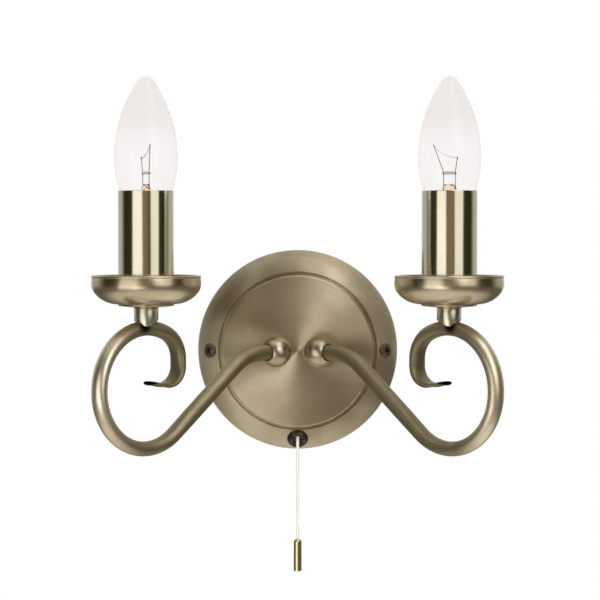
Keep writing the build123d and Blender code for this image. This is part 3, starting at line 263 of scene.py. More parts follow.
def new_group(name, inputs, outputs):
    """An empty shader group with its sockets."""
    group = bpy.data.node_groups.new(name, "ShaderNodeTree")
    for label, kind, default in inputs:
        socket = group.interface.new_socket(label, in_out="INPUT", socket_type=kind)
        if default is not None:
            socket.default_value = default
    for label, kind in outputs:
        group.interface.new_socket(label, in_out="OUTPUT", socket_type=kind)
    given, out = group.nodes.new("NodeGroupInput"), group.nodes.new("NodeGroupOutput")
    return group, given.outputs, out.inputs


def place_group(tree, maker, inputs):
    """A group's node in a material. The group is made the first time that it is used."""
    made = tree.nodes.new("ShaderNodeGroup")
    made.node_tree = bpy.data.node_groups.get(maker.__name__) or maker()
    for name, value in inputs.items():
        if isinstance(value, bpy.types.NodeSocket):
            tree.links.new(value, made.inputs[name])
        else:
            made.inputs[name].default_value = value
    return made.outputs


def cloudy_patina():
    """Cloudy colour and roughness: two sizes of noise, added, choose between two shades."""
    group, given, out = new_group(
        "cloudy_patina",
        [
            ("Vector", "NodeSocketVector", None),
            ("Scale", "NodeSocketFloat", 60.0),
            ("Bright", "NodeSocketColor", (0.5, 0.5, 0.5, 1)),
            ("Dark", "NodeSocketColor", (0.3, 0.3, 0.3, 1)),
            ("Rough Low", "NodeSocketFloat", 0.2),
            ("Rough High", "NodeSocketFloat", 0.3),
        ],
        [("Color", "NodeSocketColor"), ("Roughness", "NodeSocketFloat")],
    )
    place, scale = given["Vector"], given["Scale"]
    large = noise(group, place, scale, Detail=3.0, Roughness=0.55)
    finer = math_node(group, "MULTIPLY", scale, 9.0)
    fine = noise(group, place, finer, Detail=4.0, Roughness=0.6)
    clouds = math_node(group, "MULTIPLY", large, 0.85)
    clouds = math_node(group, "MULTIPLY_ADD", fine, 0.15, clouds)
    share = spread(group, clouds, 0.36, 0.64)
    group.links.new(mixed(group, share, given["Bright"], given["Dark"]), out["Color"])
    rough = math_node(group, "SUBTRACT", given["Rough High"], given["Rough Low"])
    rough = math_node(group, "MULTIPLY_ADD", rough, share, given["Rough Low"])
    group.links.new(rough, out["Roughness"])
    return group


def turning_marks():
    """Turning marks about the vector's z axis: noise read along the distance from that
    axis and along z, and only slowly around it."""
    group, given, out = new_group(
        "turning_marks",
        [("Vector", "NodeSocketVector", None), ("Density", "NodeSocketFloat", 1500.0)],
        [("Value", "NodeSocketFloat")],
    )
    parts = split(group, given["Vector"])
    square = math_node(group, "MULTIPLY", parts["Y"], parts["Y"])
    square = math_node(group, "MULTIPLY_ADD", parts["X"], parts["X"], square)
    reach = math_node(group, "SQRT", square)
    around = math_node(group, "ARCTAN2", parts["Y"], parts["X"])
    place = add_node(
        group, "ShaderNodeCombineXYZ",
        {
            "X": math_node(group, "MULTIPLY", reach, given["Density"]),
            "Y": math_node(group, "MULTIPLY", math_node(group, "COSINE", around), 1.3),
            "Z": math_node(group, "MULTIPLY", parts["Z"], given["Density"]),
        },
    ).outputs[0]
    group.links.new(noise(group, place, 1.0, Detail=3.0, Roughness=0.7), out["Value"])
    return group


# ---- Materials ----------------------------------------------------------------------

def start_material(name):
    """A material with its shader, its tree and its object coordinates."""
    made = bpy.data.materials.new(name)
    made.use_nodes = True
    tree = made.node_tree
    shader = tree.nodes["Principled BSDF"]
    place = tree.nodes.new("ShaderNodeTexCoord").outputs["Object"]
    return made, tree, shader, place


def set_plain(shader, **values):
    """Numbers that are the same all over, on the shader's own sockets."""
    for name, value in values.items():
        shader.inputs[name.replace("_", " ")].default_value = value


def bump_into(tree, shader, height, strength, deep):
    """Height to the shader's normal."""
    bump = add_node(
        tree, "ShaderNodeBump", {"Height": height, "Strength": strength, "Distance": deep}
    )
    tree.links.new(bump.outputs[0], shader.inputs["Normal"])


def cloudy(tree, shader, place, scale, bright, dark, rough):
    """Cloudy colour and roughness on the shader, between two of each."""
    clouds = place_group(
        tree, cloudy_patina,
        {
            "Vector": place, "Scale": scale, "Bright": rgba(bright), "Dark": rgba(dark),
            "Rough Low": rough[0], "Rough High": rough[1],
        },
    )
    tree.links.new(clouds["Color"], shader.inputs["Base Color"])
    tree.links.new(clouds["Roughness"], shader.inputs["Roughness"])


def shift(tree, place, centre):
    """A place counted from a centre."""
    return add_node(
        tree, "ShaderNodeMapping", {"Vector": place, "Location": [-v for v in centre]}
    ).outputs[0]


def so_far(shader, name):
    """What feeds one of the shader's sockets so far."""
    return shader.inputs[name].links[0].from_socket


def show_either(tree, share, first, second):
    """The material's surface: the second shader by a share, and else the first."""
    mix = tree.nodes.new("ShaderNodeMixShader")
    for index, socket in enumerate((share, first.outputs[0], second.outputs[0])):
        tree.links.new(socket, mix.inputs[index])
    tree.links.new(mix.outputs[0], tree.nodes["Material Output"].inputs["Surface"])


def brass_material(name, kind, bright, dark):
    """Lacquered brass, a little cloudy."""
    made, tree, shader, place = start_material(name)
    bright_share, dark_share, *rough, lacquer = BRASSES[kind]
    set_plain(
        shader, Metallic=1.0, IOR=1.45,
        Coat_Weight=lacquer, Coat_Roughness=0.12, Coat_IOR=1.5,
    )
    cloudy(
        tree, shader, place, 42.0, rgba(bright, bright_share), rgba(dark, dark_share), rough
    )
    return made


def brush_round(material, dark, axis, centre, grain, brushing):
    """Turning marks in circles about an axis: they roughen, darken and raise the surface
    by turns, and draw its highlights out across them."""
    tree = material.node_tree
    shader = tree.nodes["Principled BSDF"]
    place = shift(tree, tree.nodes["Texture Coordinate"].outputs["Object"], centre)
    turn = (radians(90), 0, 0) if axis == "Y" else (0, 0, 0)
    turned = add_node(tree, "ShaderNodeMapping", {"Vector": place, "Rotation": turn})
    marks = place_group(
        tree, turning_marks, {"Vector": turned.outputs[0], "Density": 2600.0}
    )["Value"]
    unevenness = 0.12
    rough = math_node(tree, "MULTIPLY_ADD", marks, unevenness, so_far(shader, "Roughness"))
    rough = math_node(tree, "SUBTRACT", rough, unevenness / 2)
    tree.links.new(rough, shader.inputs["Roughness"])
    streaks = spread(tree, marks, 0.3, 0.7, 0.0, 0.22)
    streaked = mixed(tree, streaks, so_far(shader, "Base Color"), rgba(dark, 0.72))
    tree.links.new(streaked, shader.inputs["Base Color"])
    bump_into(tree, shader, marks, grain, 0.02 * MM)
    set_plain(shader, Anisotropic=brushing, Anisotropic_Rotation=0.25)
    tangent = add_node(tree, "ShaderNodeTangent", direction_type="RADIAL", axis=axis)
    tree.links.new(tangent.outputs[0], shader.inputs["Tangent"])


def darken(material, spots):
    """Painted shade round each spot: the share of near black falls smoothly from one to
    none between two distances from the spot."""
    tree = material.node_tree
    shader = tree.nodes["Principled BSDF"]
    place = tree.nodes["Texture Coordinate"].outputs["Object"]
    shade_share = 0.0
    for centre, near, far in spots:
        share = spread(tree, distance(tree, place, centre), near, far, 1.0, 0.0)
        shade_share = math_node(tree, "MAXIMUM", shade_share, share)
    shaded_colour = mixed(tree, shade_share, so_far(shader, "Base Color"), rgba(PAINTED_SHADE))
    tree.links.new(shaded_colour, shader.inputs["Base Color"])


def buff(material):
    """Painted light and shade on the arm. Near the plane x = 0 the colour is multiplied by one
    tint where the surface faces down and by another where it faces up, a painted shade that is
    deeper underneath, and away from that plane by a third, a painted highlight on the outer
    curve, changing smoothly between two distances. The part near the plane is also rougher."""
    tree = material.node_tree
    shader = tree.nodes["Principled BSDF"]
    coordinates = tree.nodes["Texture Coordinate"].outputs
    upward = spread(tree, split(tree, coordinates["Normal"])["Z"], -0.6, 0.5)
    away = math_node(tree, "ABSOLUTE", split(tree, coordinates["Object"])["X"])
    share = spread(tree, away, HIGHLIGHT_NEAR, HIGHLIGHT_FAR)
    inner = math_node(tree, "SUBTRACT", 1.0, share)
    rough = math_node(tree, "MULTIPLY_ADD", inner, 0.15, so_far(shader, "Roughness"))
    tree.links.new(rough, shader.inputs["Roughness"])
    painted_shade = mixed(tree, upward, rgba(PAINTED_SHADE_UNDER), rgba(PAINTED_SHADE_OVER))
    tint = mixed(tree, share, painted_shade, rgba(PAINTED_HIGHLIGHT))
    tinted = add_node(
        tree, "ShaderNodeVectorMath", {0: so_far(shader, "Base Color"), 1: tint},
        operation="MULTIPLY",
    )
    tree.links.new(tinted.outputs[0], shader.inputs["Base Color"])


def plain_metal(name):
    """Bare metal with a faint cloudiness."""
    made, tree, shader, place = start_material(name)
    set_plain(shader, Metallic=1.0)
    cloudy(tree, shader, place, 240.0, *PLAIN_METALS[name])
    return made


def bronze_material(name, colour):
    """Dark antique finish, mottled, with brass just showing through. The paler patches
    are the colour times the lift."""
    made, tree, shader, place = start_material(name)
    lift, scale = BRONZES[name]
    set_plain(shader, Metallic=0.5, Coat_Weight=0.15, Coat_Roughness=0.35)
    bright = [min(1.0, lift * v) for v in colour]
    cloudy(tree, shader, place, scale, bright, colour, (0.34, 0.55))
    bump_into(tree, shader, noise(tree, place, 900.0, Detail=2.0), 0.35, 0.15 * MM)
    return made


def moulding(name):
    """Moulded plastic with a fine moulded grain."""
    made, tree, shader, place = start_material(name)
    colour, rough, speckle = MOULDINGS[name]
    dark = [v * (1 - speckle) for v in colour]
    cloudy(tree, shader, place, 300.0, colour, dark, (rough, rough + 0.1))
    bump_into(tree, shader, noise(tree, place, 2500.0, Detail=2.0), 0.15, 0.05 * MM)
    return made


def glass_material(name):
    """Clear glass with the faintest ripple, and one tint above another."""
    made, tree, shader, place = start_material(name)
    upper, lower, from_z, to_z = GLASSES[name]
    set_plain(shader, Roughness=0.0, IOR=1.25, Transmission_Weight=1.0)
    share = spread(tree, split(tree, place)["Z"], from_z, to_z)
    tree.links.new(mixed(tree, share, rgba(lower), rgba(upper)), shader.inputs["Base Color"])
    bump_into(tree, shader, noise(tree, place, 38.0, Detail=1.0), 0.02, 1.0 * MM)
    return made


def braid_material(name, colour, centre, radius):
    """Braided yarn: two crossing families of strands about the cord's line. The height
    is the product of two sines of the angle around it, turned either way along it."""
    made, tree, shader, place = start_material(name)
    parts = split(tree, shift(tree, place, centre))
    strands = 4.0
    around = math_node(tree, "ARCTAN2", parts["Y"], parts["X"])
    around = math_node(tree, "MULTIPLY", around, strands)
    along = math_node(tree, "MULTIPLY", parts["Z"], strands / radius)
    first = math_node(tree, "SINE", math_node(tree, "ADD", around, along))
    second = math_node(tree, "SINE", math_node(tree, "SUBTRACT", around, along))
    weave = math_node(tree, "MULTIPLY", first, second)
    # darker where the weave is low: a painted shade between the strands
    share = spread(tree, weave, -0.5, 0.7)
    yarn = mixed(tree, share, rgba(colour, 0.84), rgba(colour))
    tree.links.new(yarn, shader.inputs["Base Color"])
    set_plain(shader, Roughness=0.78, Sheen_Weight=0.3, Sheen_Roughness=0.4)
    bump_into(tree, shader, weave, 0.5, 0.08 * MM)
    return made


def plain_to_rays(tree, shader):
    """Shows the floor plain white to the camera and through glass, and in metal as a plain
    painted pool of light, palest under the light, in place of its own lit shade."""
    rays = tree.nodes.new("ShaderNodeLightPath").outputs
    passed = math_node(tree, "MINIMUM", rays["Transmission Depth"], 1.0)
    passed = math_node(tree, "MAXIMUM", passed, rays["Is Camera Ray"])
    place, painted_light_pool = tree.nodes["Texture Coordinate"].outputs["Object"], (0, -0.1, FLOOR_HEIGHT)
    # a painted pool of light: pale round a point under the light, dim further off
    away = spread(tree, distance(tree, place, painted_light_pool), 0.3, 1.0)
    tone = mixed(tree, away, (0.85, 0.82, 0.76, 1), (0.16, 0.15, 0.13, 1))
    tone = mixed(tree, passed, tone, (1, 1, 1, 1))
    plain = add_node(tree, "ShaderNodeEmission", {"Color": tone, "Strength": 1.0})
    show_either(tree, math_node(tree, "MAXIMUM", passed, rays["Is Glossy Ray"]), shader, plain)


def dress(node, material):
    """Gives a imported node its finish."""
    piece = NODES[node]
    piece.data.materials.clear()
    piece.data.materials.append(material)


# ---- Mesh helpers -------------------------------------------------------------------

def grid_mesh(name, *grids, ring=False):
    """One mesh from arrays of points, each (along, around, 3), as quads. The ends of each
    are closed by a fan to the middle of the end row, or joined to each other in a ring."""
    vertices, faces, used = [], [], 0
    for points in grids:
        rows, columns = points.shape[:2]
        i = np.arange(rows if ring else rows - 1)[:, None]
        j = np.arange(columns)[None, :]
        here, onward = i * columns, (i + 1) % rows * columns
        k = (j + 1) % columns
        quads = np.stack([here + j, here + k, onward + k, onward + j], -1).reshape(-1, 4)
        faces += (quads + used).tolist()
        vertices.append(points.reshape(-1, 3))
        size = rows * columns
        if not ring:
            vertices.append(np.stack([points[0].mean(0), points[-1].mean(0)]))
            centre = np.full(columns, used + size)
            first, last = used, used + size - columns
            faces += np.stack([centre, k[0] + first, j[0] + first], -1).tolist()
            faces += np.stack([centre + 1, j[0] + last, k[0] + last], -1).tolist()
            size += 2
        used += size
    mesh = bpy.data.meshes.new(name)
    mesh.from_pydata(np.vstack(vertices).tolist(), [], faces)
    mesh.polygons.foreach_set("use_smooth", [True] * len(mesh.polygons))
    mesh.update()
    piece = bpy.data.objects.new(name, mesh)
    bpy.context.scene.collection.objects.link(piece)
    return piece


def oval(turn, wide, deep, across, aside):
    """Points round an oval: the angle's cosine times the half width in one direction, and
    its sine times the half depth in another."""
    return (wide * np.cos(turn))[..., None] * across + (deep * np.sin(turn))[..., None] * aside


def tube_points(path, radius, sides):
    """Rings of points about a path: at each point two directions square to the path carry
    a circle. The first direction is the part of a fixed vector that is square to the path."""
    ahead = np.gradient(path, axis=0)
    ahead /= np.linalg.norm(ahead, axis=1, keepdims=True)
    fixed = np.array([0.31, 0.17, 0.93])
    side = fixed - (ahead @ fixed)[:, None] * ahead
    side /= np.linalg.norm(side, axis=1, keepdims=True)
    up = np.cross(ahead, side)
    turn = np.linspace(0, 2 * pi, sides, endpoint=False)
    ring = oval(turn, 1.0, 1.0, side[:, None], up[:, None])
    return path[:, None] + np.broadcast_to(radius, len(path))[:, None, None] * ring


def flat_piece(name, corners, scale, first, second):
    """One flat face with a matt finish, dappled between two shades. Returns it with its
    material's tree and shader."""
    mesh = bpy.data.meshes.new(name)
    mesh.from_pydata(corners.tolist(), [], [list(range(len(corners)))])
    piece = bpy.data.objects.new(name, mesh)
    bpy.context.scene.collection.objects.link(piece)
    made, tree, shader, place = start_material(name)
    dappled = mixed(tree, noise(tree, place, scale), rgba(first), rgba(second))
    tree.links.new(dappled, shader.inputs["Base Color"])
    set_plain(shader, Roughness=0.9)
    mesh.materials.append(made)
    return piece, tree, shader


# ---- Operators ----------------------------------------------------------------------

class WallLightMetals(bpy.types.Operator):
    """Antique brass, bronze and plated steel for the light's metal pieces"""

    bl_idname = "wall_light.metals"
    bl_label = "Finish the metals"

    def execute(self, context):
        finish = context.scene.wall_light_finish
        bright, dark, polish = finish.brass[:], finish.patina[:], finish.polish[:]
        disc = brass_material("brushed_disc_brass", "disc", bright, dark)
        brush_round(disc, dark, "Y", (0, 0, 0), grain=0.12, brushing=0.94)
        dress("backplate", disc)
        dress("cord_toggle", brass_material("toggle_brass", "toggle", *TOGGLE_SHADES))
        names = ("turned_brass", "zinc_plate", "bright_wire", "nickel")
        fittings, zinc, wire, nickel = (plain_metal(name) for name in names)
        bronze, mottled = (bronze_material(name, finish.bronze[:]) for name in BRONZES)
        for side in SIDES:
            axis = upright(f"candle_tube_{side}")
            pan = brass_material(f"turned_pan_brass_{side}", "pan", bright, dark)
            brush_round(pan, dark, "Z", axis, grain=0.1, brushing=0.5)
            for name in ("drip_pan", "pan_washer"):
                dress(f"{name}_{side}", pan)
            tube = brass_material(f"polished_tube_brass_{side}", "tube", polish, polish)
            dress(f"candle_tube_{side}", tube)
            collar = brass_material(f"turned_collar_brass_{side}", "collar", bright, polish)
            self.collar(side, axis, collar)
            arm = brass_material(f"satin_arm_brass_{side}", "arm", bright, dark)
            # painted highlight on the outer curve and painted shade near the plate
            buff(arm)
            # painted shade at the tail's end and under the collar
            darken(arm, self.scorched(side, axis))
            dress(f"arm_{side}", arm)
            ball = brass_material(f"satin_ball_brass_{side}", "ball", bright, dark)
            dress(f"knuckle_{side}", ball)
            for name in ("nipple", "socket_shell", "socket_contact"):
                dress(f"{name}_{side}", fittings)
            dress(f"tube_seat_{side}", zinc)
            for name in ("lamp_cap", "lamp_point"):
                dress(f"{name}_{side}", nickel)
        for name in ("earth_screw", "terminal_screws", "knuckle_nuts", "candle_locknuts"):
            dress(name, fittings)
        for name in ("wall_bracket", "carrier_strip"):
            dress(name, zinc)
        self.spring(wire)
        dress("cord_ferrule", bronze)
        self.screws(mottled)
        return {"FINISHED"}

    def scorched(self, side, axis):
        """The middle of the tail's end and the joint under the collar, each with the
        distances over which the painted shade there fades."""
        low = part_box(f"collar_{side}")[0]
        corners = corners_of(f"arm_{side}")
        out, back, height = abs(corners[:, 0]), corners[:, 1], corners[:, 2]
        # the tail: below the collar, above the bottom of the scroll, and under the lamp
        hook = (height < low.z - 20 * MM) & (height > -22 * MM)
        hook &= (out < abs(axis[0]) + 4 * MM) & (abs(back - axis[1]) < 8 * MM)
        tail = corners[hook & (out > out[hook].max() - 0.5 * MM)].mean(0)
        joint = (axis[0], low.y, low.z)
        return [(tuple(tail), 6.5 * MM, 10.0 * MM), (joint, 1.5 * MM, 6.0 * MM)]

    def collar(self, side, axis, material):
        """A short tube saddled onto the arm. Its foot rises with the square of the cosine
        of the angle from the arm's line, and its top edge is eased."""
        low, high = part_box(f"collar_{side}")
        outer, bore, saddle, ease = (high.x - low.x) / 2, 4.95 * MM, 3.2 * MM, 0.35 * MM
        turn = np.linspace(0, 2 * pi, 96, endpoint=False)
        foot = low.z + saddle * np.cos(turn) ** 2
        rows = [
            (outer - ease, high.z), (outer - 0.3 * ease, high.z - 0.3 * ease),
            (outer, high.z - ease), (outer, high.z * 0.6 + foot * 0.4), (outer, foot + ease),
            (outer - 0.3 * ease, foot + 0.3 * ease), (outer - ease, foot), (bore, foot),
            (bore, high.z * 0.5 + foot * 0.5), (bore, high.z),
        ]
        points = np.stack([
            axis + oval(turn, reach, reach, X, Y) + np.broadcast_to(z, turn.shape)[:, None] * UP
            for reach, z in rows
        ])
        piece = grid_mesh(f"saddled_collar_{side}", points[::-1], ring=True)
        piece.data.materials.append(material)
        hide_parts(f"collar_{side}")
        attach(piece, "root")

    def spring(self, material):
        """The switch's return spring: a circle carried along a helix, whose height is in
        proportion to its turn."""
        low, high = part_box("switch_spring")
        tall, wire, turns, travel = high.z - low.z, 0.5 * MM, 4, 4.4 * MM
        axis, radius = upright("switch_spring"), (high.x - low.x - wire) / 2
        share = np.linspace(0, 1, turns * 40 + 1)
        rise = low.z + wire / 2 + (tall - wire) * share
        path = axis + oval(2 * pi * turns * share, radius, radius, X, Y) + rise[:, None] * UP
        piece = grid_mesh("return_spring", tube_points(path, wire / 2, 12))
        piece.data.materials.append(material)
        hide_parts("switch_spring")
        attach(piece, "root")
        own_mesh(piece)

    def screws(self, material):
        """Two domed screws. The head falls with the square of the distance from its middle,
        less a six-sided socket with soft walls, and its edge has fine notches, a cosine of
        the angle. The thread is a sine along the shank."""
        corners = corners_of("cover_screws")
        # radius of the head, its height in the middle and at the edge, radius of the shank
        head, crown, wall, shank = 4.4 * MM, 2.4 * MM, 0.5 * MM, 1.95 * MM
        key, key_depth, key_blend = 1.75 * MM, 1.2 * MM, 0.07 * MM
        notches, threads, thread_depth, long = 22, 20, 0.2 * MM, 13.6 * MM
        turn = np.linspace(0, 2 * pi, 144, endpoint=False)[None]
        reach = head * np.linspace(0.02, 1, 60)[:, None]
        socket = key * (1 - 0.07 * np.cos(6 * turn))
        well = key_depth / (1 + np.exp((reach - socket) / key_blend))
        top = crown - (crown - wall) * (reach / head) ** 2 - well
        notch = 1 - 0.035 * (0.5 + 0.5 * np.cos(notches * turn)) * (reach / head) ** 8
        along = np.linspace(0, 1, 80)[:, None]
        thread = shank - thread_depth * (0.5 + 0.5 * np.sin(2 * pi * threads * along))
        depth = -0.3 * MM - long * along
        full = np.ones_like(turn)
        reach = np.vstack([reach * notch, head * notch[-1:], thread * full])
        rise = np.vstack([top * full, -0.15 * MM * full, depth * full])
        grids, sockets = [], []
        for sign in (-1, 1):
            screw = corners[corners[:, 0] * sign > 0]
            centre = screw.mean(0)
            out = np.linalg.svd(screw - centre, full_matrices=False)[2][0]
            out *= -np.sign(out[1])
            seat = centre + out * (((screw - centre) @ out).max() - crown)
            circles = oval(turn, reach, reach, np.cross(UP, out), UP)
            grids.append(seat + circles + rise[..., None] * out)
            # painted shade in the socket: near black round its middle
            sockets.append((tuple(seat + out * crown), 1.5 * MM, 2.2 * MM))
        darken(material, sockets)
        piece = grid_mesh("domed_screws", *grids)
        piece.data.materials.append(material)
        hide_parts("cover_screws")
        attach(piece, "root")


class WallLightMouldings(bpy.types.Operator):
    """Plastics and insulation of the holders, the switch, the terminals and the wires"""

    bl_idname = "wall_light.mouldings"
    bl_label = "Finish the mouldings"

    def execute(self, context):
        black, white, sleeve = (moulding(name) for name in MOULDINGS)
        for side in SIDES:
            dress(f"lampholder_{side}", black)
            dress(f"lamp_insulator_{side}", black)
            dress(f"arm_wires_{side}", sleeve)
        dress("switch_body", black)
        dress("switch_wires", sleeve)
        dress("terminal_block", white)
        dress("switch_plunger", white)
        return {"FINISHED"}


class WallLightLamps(bpy.types.Operator):
    """Clear glass of the candle lamps, and a fine coiled filament in each"""

    bl_idname = "wall_light.lamps"
    bl_label = "Make the lamps"

    def execute(self, context):
        sizes = context.scene.wall_light_sizes
        glass, stem = (glass_material(name) for name in GLASSES)
        wire, tungsten = plain_metal("lead_wire"), plain_metal("filament_wire")
        for side in SIDES:
            dress(f"lamp_glass_{side}", glass)
            self.stem(side, stem)
            tips = self.leads(side, sizes, wire)
            self.filament(side, sizes, tungsten, *tips)
        return {"FINISHED"}

    def turn_of(self, side):
        """The direction of the bead bar on the level, from the short lead to the long."""
        angle = radians(BEAD_TURN[side])
        return np.array([cos(angle), sin(angle), 0.0])

    def stem(self, side, material):
        """Glass foot, pinched flat at its top, and the bead bar above it. A section is a
        lumpy oval; the bar's thickness is the root of one less the sixth power of the
        distance from its middle."""
        low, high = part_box(f"lamp_stem_{side}")
        axis, across = upright(f"lamp_stem_{side}"), self.turn_of(side)
        aside = np.cross(UP, across)
        turn = np.linspace(0, 2 * pi, 64, endpoint=False)
        flare = (high.x - low.x) / 2 / MM
        # height above the foot, half width and half thickness in mm
        stations = np.array([
            (0.0, flare, flare), (1.5, 4.4, 4.4), (3.0, 3.5, 3.5), (8.0, 3.5, 3.5),
            (12.0, 3.7, 2.4), (15.5, 4.0, 1.3), (19.0, 4.0, 1.2), (22.0, 3.6, 1.3),
            (23.4, 2.2, 0.9),
        ])
        rise = np.linspace(0, stations[-1, 0], 70)[:, None]
        wide, thick = (np.interp(rise, stations[:, 0], stations[:, n]) for n in (1, 2))
        lumps = MM * (1 + 0.16 * np.sin(2.2 * rise) * np.sin(5 * turn) * (rise > 14))
        body = axis + oval(turn, wide * lumps, thick * lumps, across, aside)
        body += (low.z + rise * MM)[..., None] * UP
        half, radius, drop, arch = 4.2 * MM, 0.85 * MM, 0.9 * MM, 0.35 * MM
        share = np.sin(np.linspace(-pi / 2, pi / 2, 40))[1:-1, None]
        height = high.z - drop + arch * (1 - share**2)
        line = axis + half * share * across + height * UP
        bar = tube_points(line, radius * np.sqrt(1 - share[:, 0] ** 6), 24)
        piece = grid_mesh(f"pinched_stem_{side}", body, bar)
        piece.data.materials.append(material)
        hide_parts(f"lamp_stem_{side}")
        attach(piece, f"lamp_{side}")

    def leads(self, side, sizes, material):
        """The long and the short lead. Each runs up from the pinch through the bead, then
        leans to its tip: its lean is a ramp with a soft corner, and it swells at the crimp.
        Returns the two tips."""
        low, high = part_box(f"lamp_stem_{side}")
        axis, apart, start = upright(f"lamp_stem_{side}"), 3.3 * MM, 13 * MM
        crimp_down, crimp_long, swell = 0.9 * MM, 0.5 * MM, 0.14 * MM
        grids, tips = [], []
        for sign, (aside, back, top) in zip((1, -1), LEAD_TIPS[side]):
            foot = axis + sign * apart * self.turn_of(side)
            tip = axis + np.array([aside, back, 0]) * MM
            rise = np.linspace(low.z + start, top, 90)
            share = (rise - high.z) / (top - high.z)
            ramp = ((share + np.sqrt(share**2 + 0.002)) / 2)[:, None]
            path = foot + (tip - foot) * ramp
            path[:, 2] = rise
            crimp = np.exp(-(((rise - top + crimp_down) / crimp_long) ** 2))
            grids.append(tube_points(path, sizes.lead / 2 + swell * crimp, 12))
            tips.append(path[-1] - crimp_down * UP)
        piece = grid_mesh(f"lead_wires_{side}", *grids)
        piece.data.materials.append(material)
        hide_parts(f"lamp_leads_{side}")
        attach(piece, f"lamp_{side}")
        return tips

    def filament(self, side, sizes, material, top, end):
        """A coil whose middle line is a shallow curve between the leads' tips, dipping in
        its middle: the point on the curve plus a circle that turns along it."""
        turns, steps, dip = 46, 12, 1.6 * MM
        share = np.linspace(0, 1, turns * steps + 1)[:, None]
        line = top + (end - top) * share
        line -= dip * np.sin(pi * share) * UP
        along = (end - top) / np.linalg.norm(end - top)
        aside = np.cross(along, UP)
        aside /= np.linalg.norm(aside)
        over = np.cross(aside, along)
        turn = 2 * pi * turns * share
        coil = line + sizes.coil * (np.cos(turn) * aside + np.sin(turn) * over)
        piece = grid_mesh(f"filament_{side}", tube_points(coil, sizes.filament / 2, 5))
        piece.data.materials.append(material)
        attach(piece, f"lamp_{side}")


class WallLightCord(bpy.types.Operator):
    """The braided pull cord, from the switch's plunger to the brass toggle"""

    bl_idname = "wall_light.cord"
    bl_label = "Make the cord"

    def execute(self, context):
        finish = context.scene.wall_light_finish
        sizes = context.scene.wall_light_sizes
        low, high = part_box("pull_cord")
        centre = (low + high) / 2
        curve = bpy.data.curves.new("pull_cord_braid", "CURVE")
        curve.dimensions = "3D"
        spline = curve.splines.new("NURBS")
        heights = np.linspace(high.z, low.z, 7)
        spline.points.add(len(heights) - 1)
        for point, z in zip(spline.points, heights):
            point.co = (centre.x, centre.y, z, 1)
        spline.order_u = 3
        spline.use_endpoint_u = True
        spline.resolution_u = 12
        curve.bevel_depth = sizes.cord / 2
        curve.bevel_resolution = 6
        curve.use_fill_caps = True
        cord = bpy.data.objects.new("pull_cord_braid", curve)
        context.scene.collection.objects.link(cord)
        yarn = braid_material(
            "braided_yarn", finish.thread[:], upright("pull_cord"), sizes.cord / 2
        )
        cord.data.materials.append(yarn)
        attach(cord, "pull")
        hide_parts("pull_cord")
        return {"FINISHED"}


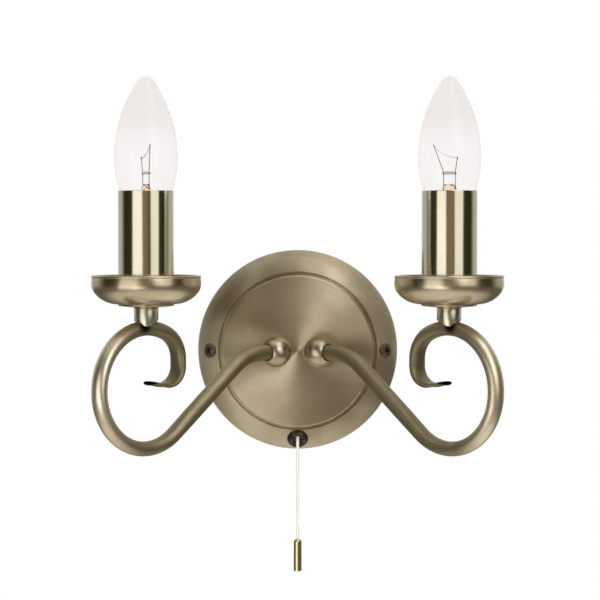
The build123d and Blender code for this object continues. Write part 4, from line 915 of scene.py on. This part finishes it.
class WallLightStage(bpy.types.Operator):
    """Pale floor, white backdrop, softboxes, the covered wall darkened as painted shade, and
    the camera
    """

    bl_idname = "wall_light.stage"
    bl_label = "Set the stage"

    def execute(self, context):
        self.floor()
        self.world(context)
        self.wall_patch()
        for name, setting in SOFTBOXES.items():
            self.softbox(context, name, *setting)
        self.camera(context)
        context.scene.view_settings.view_transform = "Standard"
        return {"FINISHED"}

    def floor(self):
        """A wide floor well below the light."""
        corners = 3.0 * np.array([(-1, -1, 0), (1, -1, 0), (1, 1, 0), (-1, 1, 0)])
        floor, tree, shader = flat_piece(
            "pale_floor", corners + FLOOR_HEIGHT * UP, 3.0,
            (0.78, 0.78, 0.77), (0.82, 0.82, 0.81),
        )
        plain_to_rays(tree, shader)

    def world(self, context):
        """A white backdrop behind the light and a dim studio in front: brightness follows
        the direction's angle from straight ahead, and its height."""
        world = bpy.data.worlds.new("studio")
        context.scene.world = world
        world.use_nodes = True
        tree = world.node_tree
        ground = tree.nodes["Background"]
        way = tree.nodes.new("ShaderNodeTexCoord").outputs["Generated"]
        parts = split(tree, way)
        behind = spread(tree, parts["Y"], 0.05, 0.5)
        front = spread(tree, parts["Y"], -1.0, -0.94, 1.0, 0.0)
        above = spread(tree, parts["Z"], 0.35, 0.85)
        dim = mixed(tree, front, (0.030, 0.028, 0.013, 1), (0.26, 0.196, 0.122, 1))
        room = mixed(tree, above, dim, (0.22, 0.21, 0.19, 1))
        room = mixed(tree, behind, room, (0.55, 0.545, 0.53, 1))
        rays = tree.nodes.new("ShaderNodeLightPath").outputs
        passed = math_node(tree, "MINIMUM", rays["Transmission Depth"], 1.0)
        passed = math_node(tree, "MAXIMUM", passed, rays["Is Transmission Ray"])
        straight = spread(tree, parts["Y"], 0.8, 0.97)
        backdrop = math_node(tree, "MULTIPLY", straight, rays["Is Glossy Ray"])
        seen = math_node(tree, "MAXIMUM", rays["Is Camera Ray"], passed)
        seen = math_node(tree, "MAXIMUM", seen, backdrop)
        tree.links.new(mixed(tree, seen, room, (1, 1, 1, 1)), ground.inputs["Color"])

    def softbox(self, context, name, azimuth, elevation, width, height, power, mirrored):
        """A rectangular lamp on a ball round the light, facing its middle. It isn't seen
        through glass, where it would cut the candle lamps' outlines."""
        reach, turn, rise = 1.25, radians(azimuth), radians(elevation)
        way = Vector((sin(turn) * cos(rise), -cos(turn) * cos(rise), sin(rise)))
        lamp = bpy.data.lights.new(name, "AREA")
        lamp.shape = "RECTANGLE"
        lamp.size, lamp.size_y = width, height
        lamp.energy = power
        held = bpy.data.objects.new(name, lamp)
        held.location = LIGHT_MIDDLE + way * reach
        held.rotation_euler = (-way).to_track_quat("-Z", "Y").to_euler()
        held.visible_glossy = mirrored
        held.visible_transmission = False
        context.scene.collection.objects.link(held)

    def wall_patch(self):
        """The wall that the plate covers, seen through the bush's bore, coloured dark as a
        painted shade. Only rays that come from the camera's side meet it, so the inside is lit
        and open from behind."""
        low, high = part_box("backplate")
        radius, back = (high.x - low.x) / 2 - 0.5 * MM, high.y + 0.3 * MM
        turn = np.linspace(0, 2 * pi, 96, endpoint=False)
        # its two colours are dark grey: a painted shade for the wall inside the plate
        patch, tree, shader = flat_piece(
            "covered_wall_shade", oval(turn, radius, radius, X, UP) + back * Y, 40.0,
            (0.14, 0.13, 0.12), (0.20, 0.19, 0.18),
        )
        behind = tree.nodes.new("ShaderNodeNewGeometry").outputs["Backfacing"]
        ahead = math_node(tree, "SUBTRACT", 1.0, behind)
        rays = tree.nodes.new("ShaderNodeLightPath").outputs
        met = math_node(tree, "MULTIPLY", ahead, rays["Is Camera Ray"])
        show_either(tree, met, tree.nodes.new("ShaderNodeBsdfTransparent"), shader)

    def camera(self, context):
        """The photograph's view."""
        sizes = context.scene.wall_light_sizes
        lens = bpy.data.cameras.new("camera")
        lens.sensor_width = SENSOR
        lens.lens = SENSOR * FOCAL_LENGTH / FRAME
        lens.shift_x = (FRAME / 2 - COLUMN) / FRAME
        lens.clip_start = 0.05
        camera = bpy.data.objects.new("camera", lens)
        camera.location = (0, -sizes.camera_out, sizes.camera_height)
        camera.rotation_euler = (pi / 2 - atan(HORIZON / FOCAL_LENGTH), 0, 0)
        context.scene.collection.objects.link(camera)
        context.scene.camera = camera


class WallLightPanel(bpy.types.Panel):
    """The light's settings and operators, in the sidebar"""

    bl_label = "Wall light"
    bl_idname = "VIEW3D_PT_wall_light"
    bl_space_type = "VIEW_3D"
    bl_region_type = "UI"
    bl_category = "Wall light"

    def draw(self, context):
        for group in (context.scene.wall_light_finish, context.scene.wall_light_sizes):
            for name in group.__annotations__:
                self.layout.prop(group, name)
        for operator in OPERATORS:
            self.layout.operator(operator.bl_idname)


OPERATORS = (WallLightMetals, WallLightMouldings, WallLightLamps, WallLightCord, WallLightStage)
CLASSES = (WallLightFinish, WallLightSizes, *OPERATORS, WallLightPanel)


def register():
    for item in CLASSES:
        bpy.utils.register_class(item)
    bpy.types.Scene.wall_light_finish = bpy.props.PointerProperty(type=WallLightFinish)
    bpy.types.Scene.wall_light_sizes = bpy.props.PointerProperty(type=WallLightSizes)


def unregister():
    del bpy.types.Scene.wall_light_sizes
    del bpy.types.Scene.wall_light_finish
    for item in reversed(CLASSES):
        bpy.utils.unregister_class(item)


def main():
    """Registers the classes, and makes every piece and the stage."""
    register()
    bpy.ops.wall_light.metals()
    bpy.ops.wall_light.mouldings()
    bpy.ops.wall_light.lamps()
    bpy.ops.wall_light.cord()
    bpy.ops.wall_light.stage()


if __name__ == "__main__":
    main()
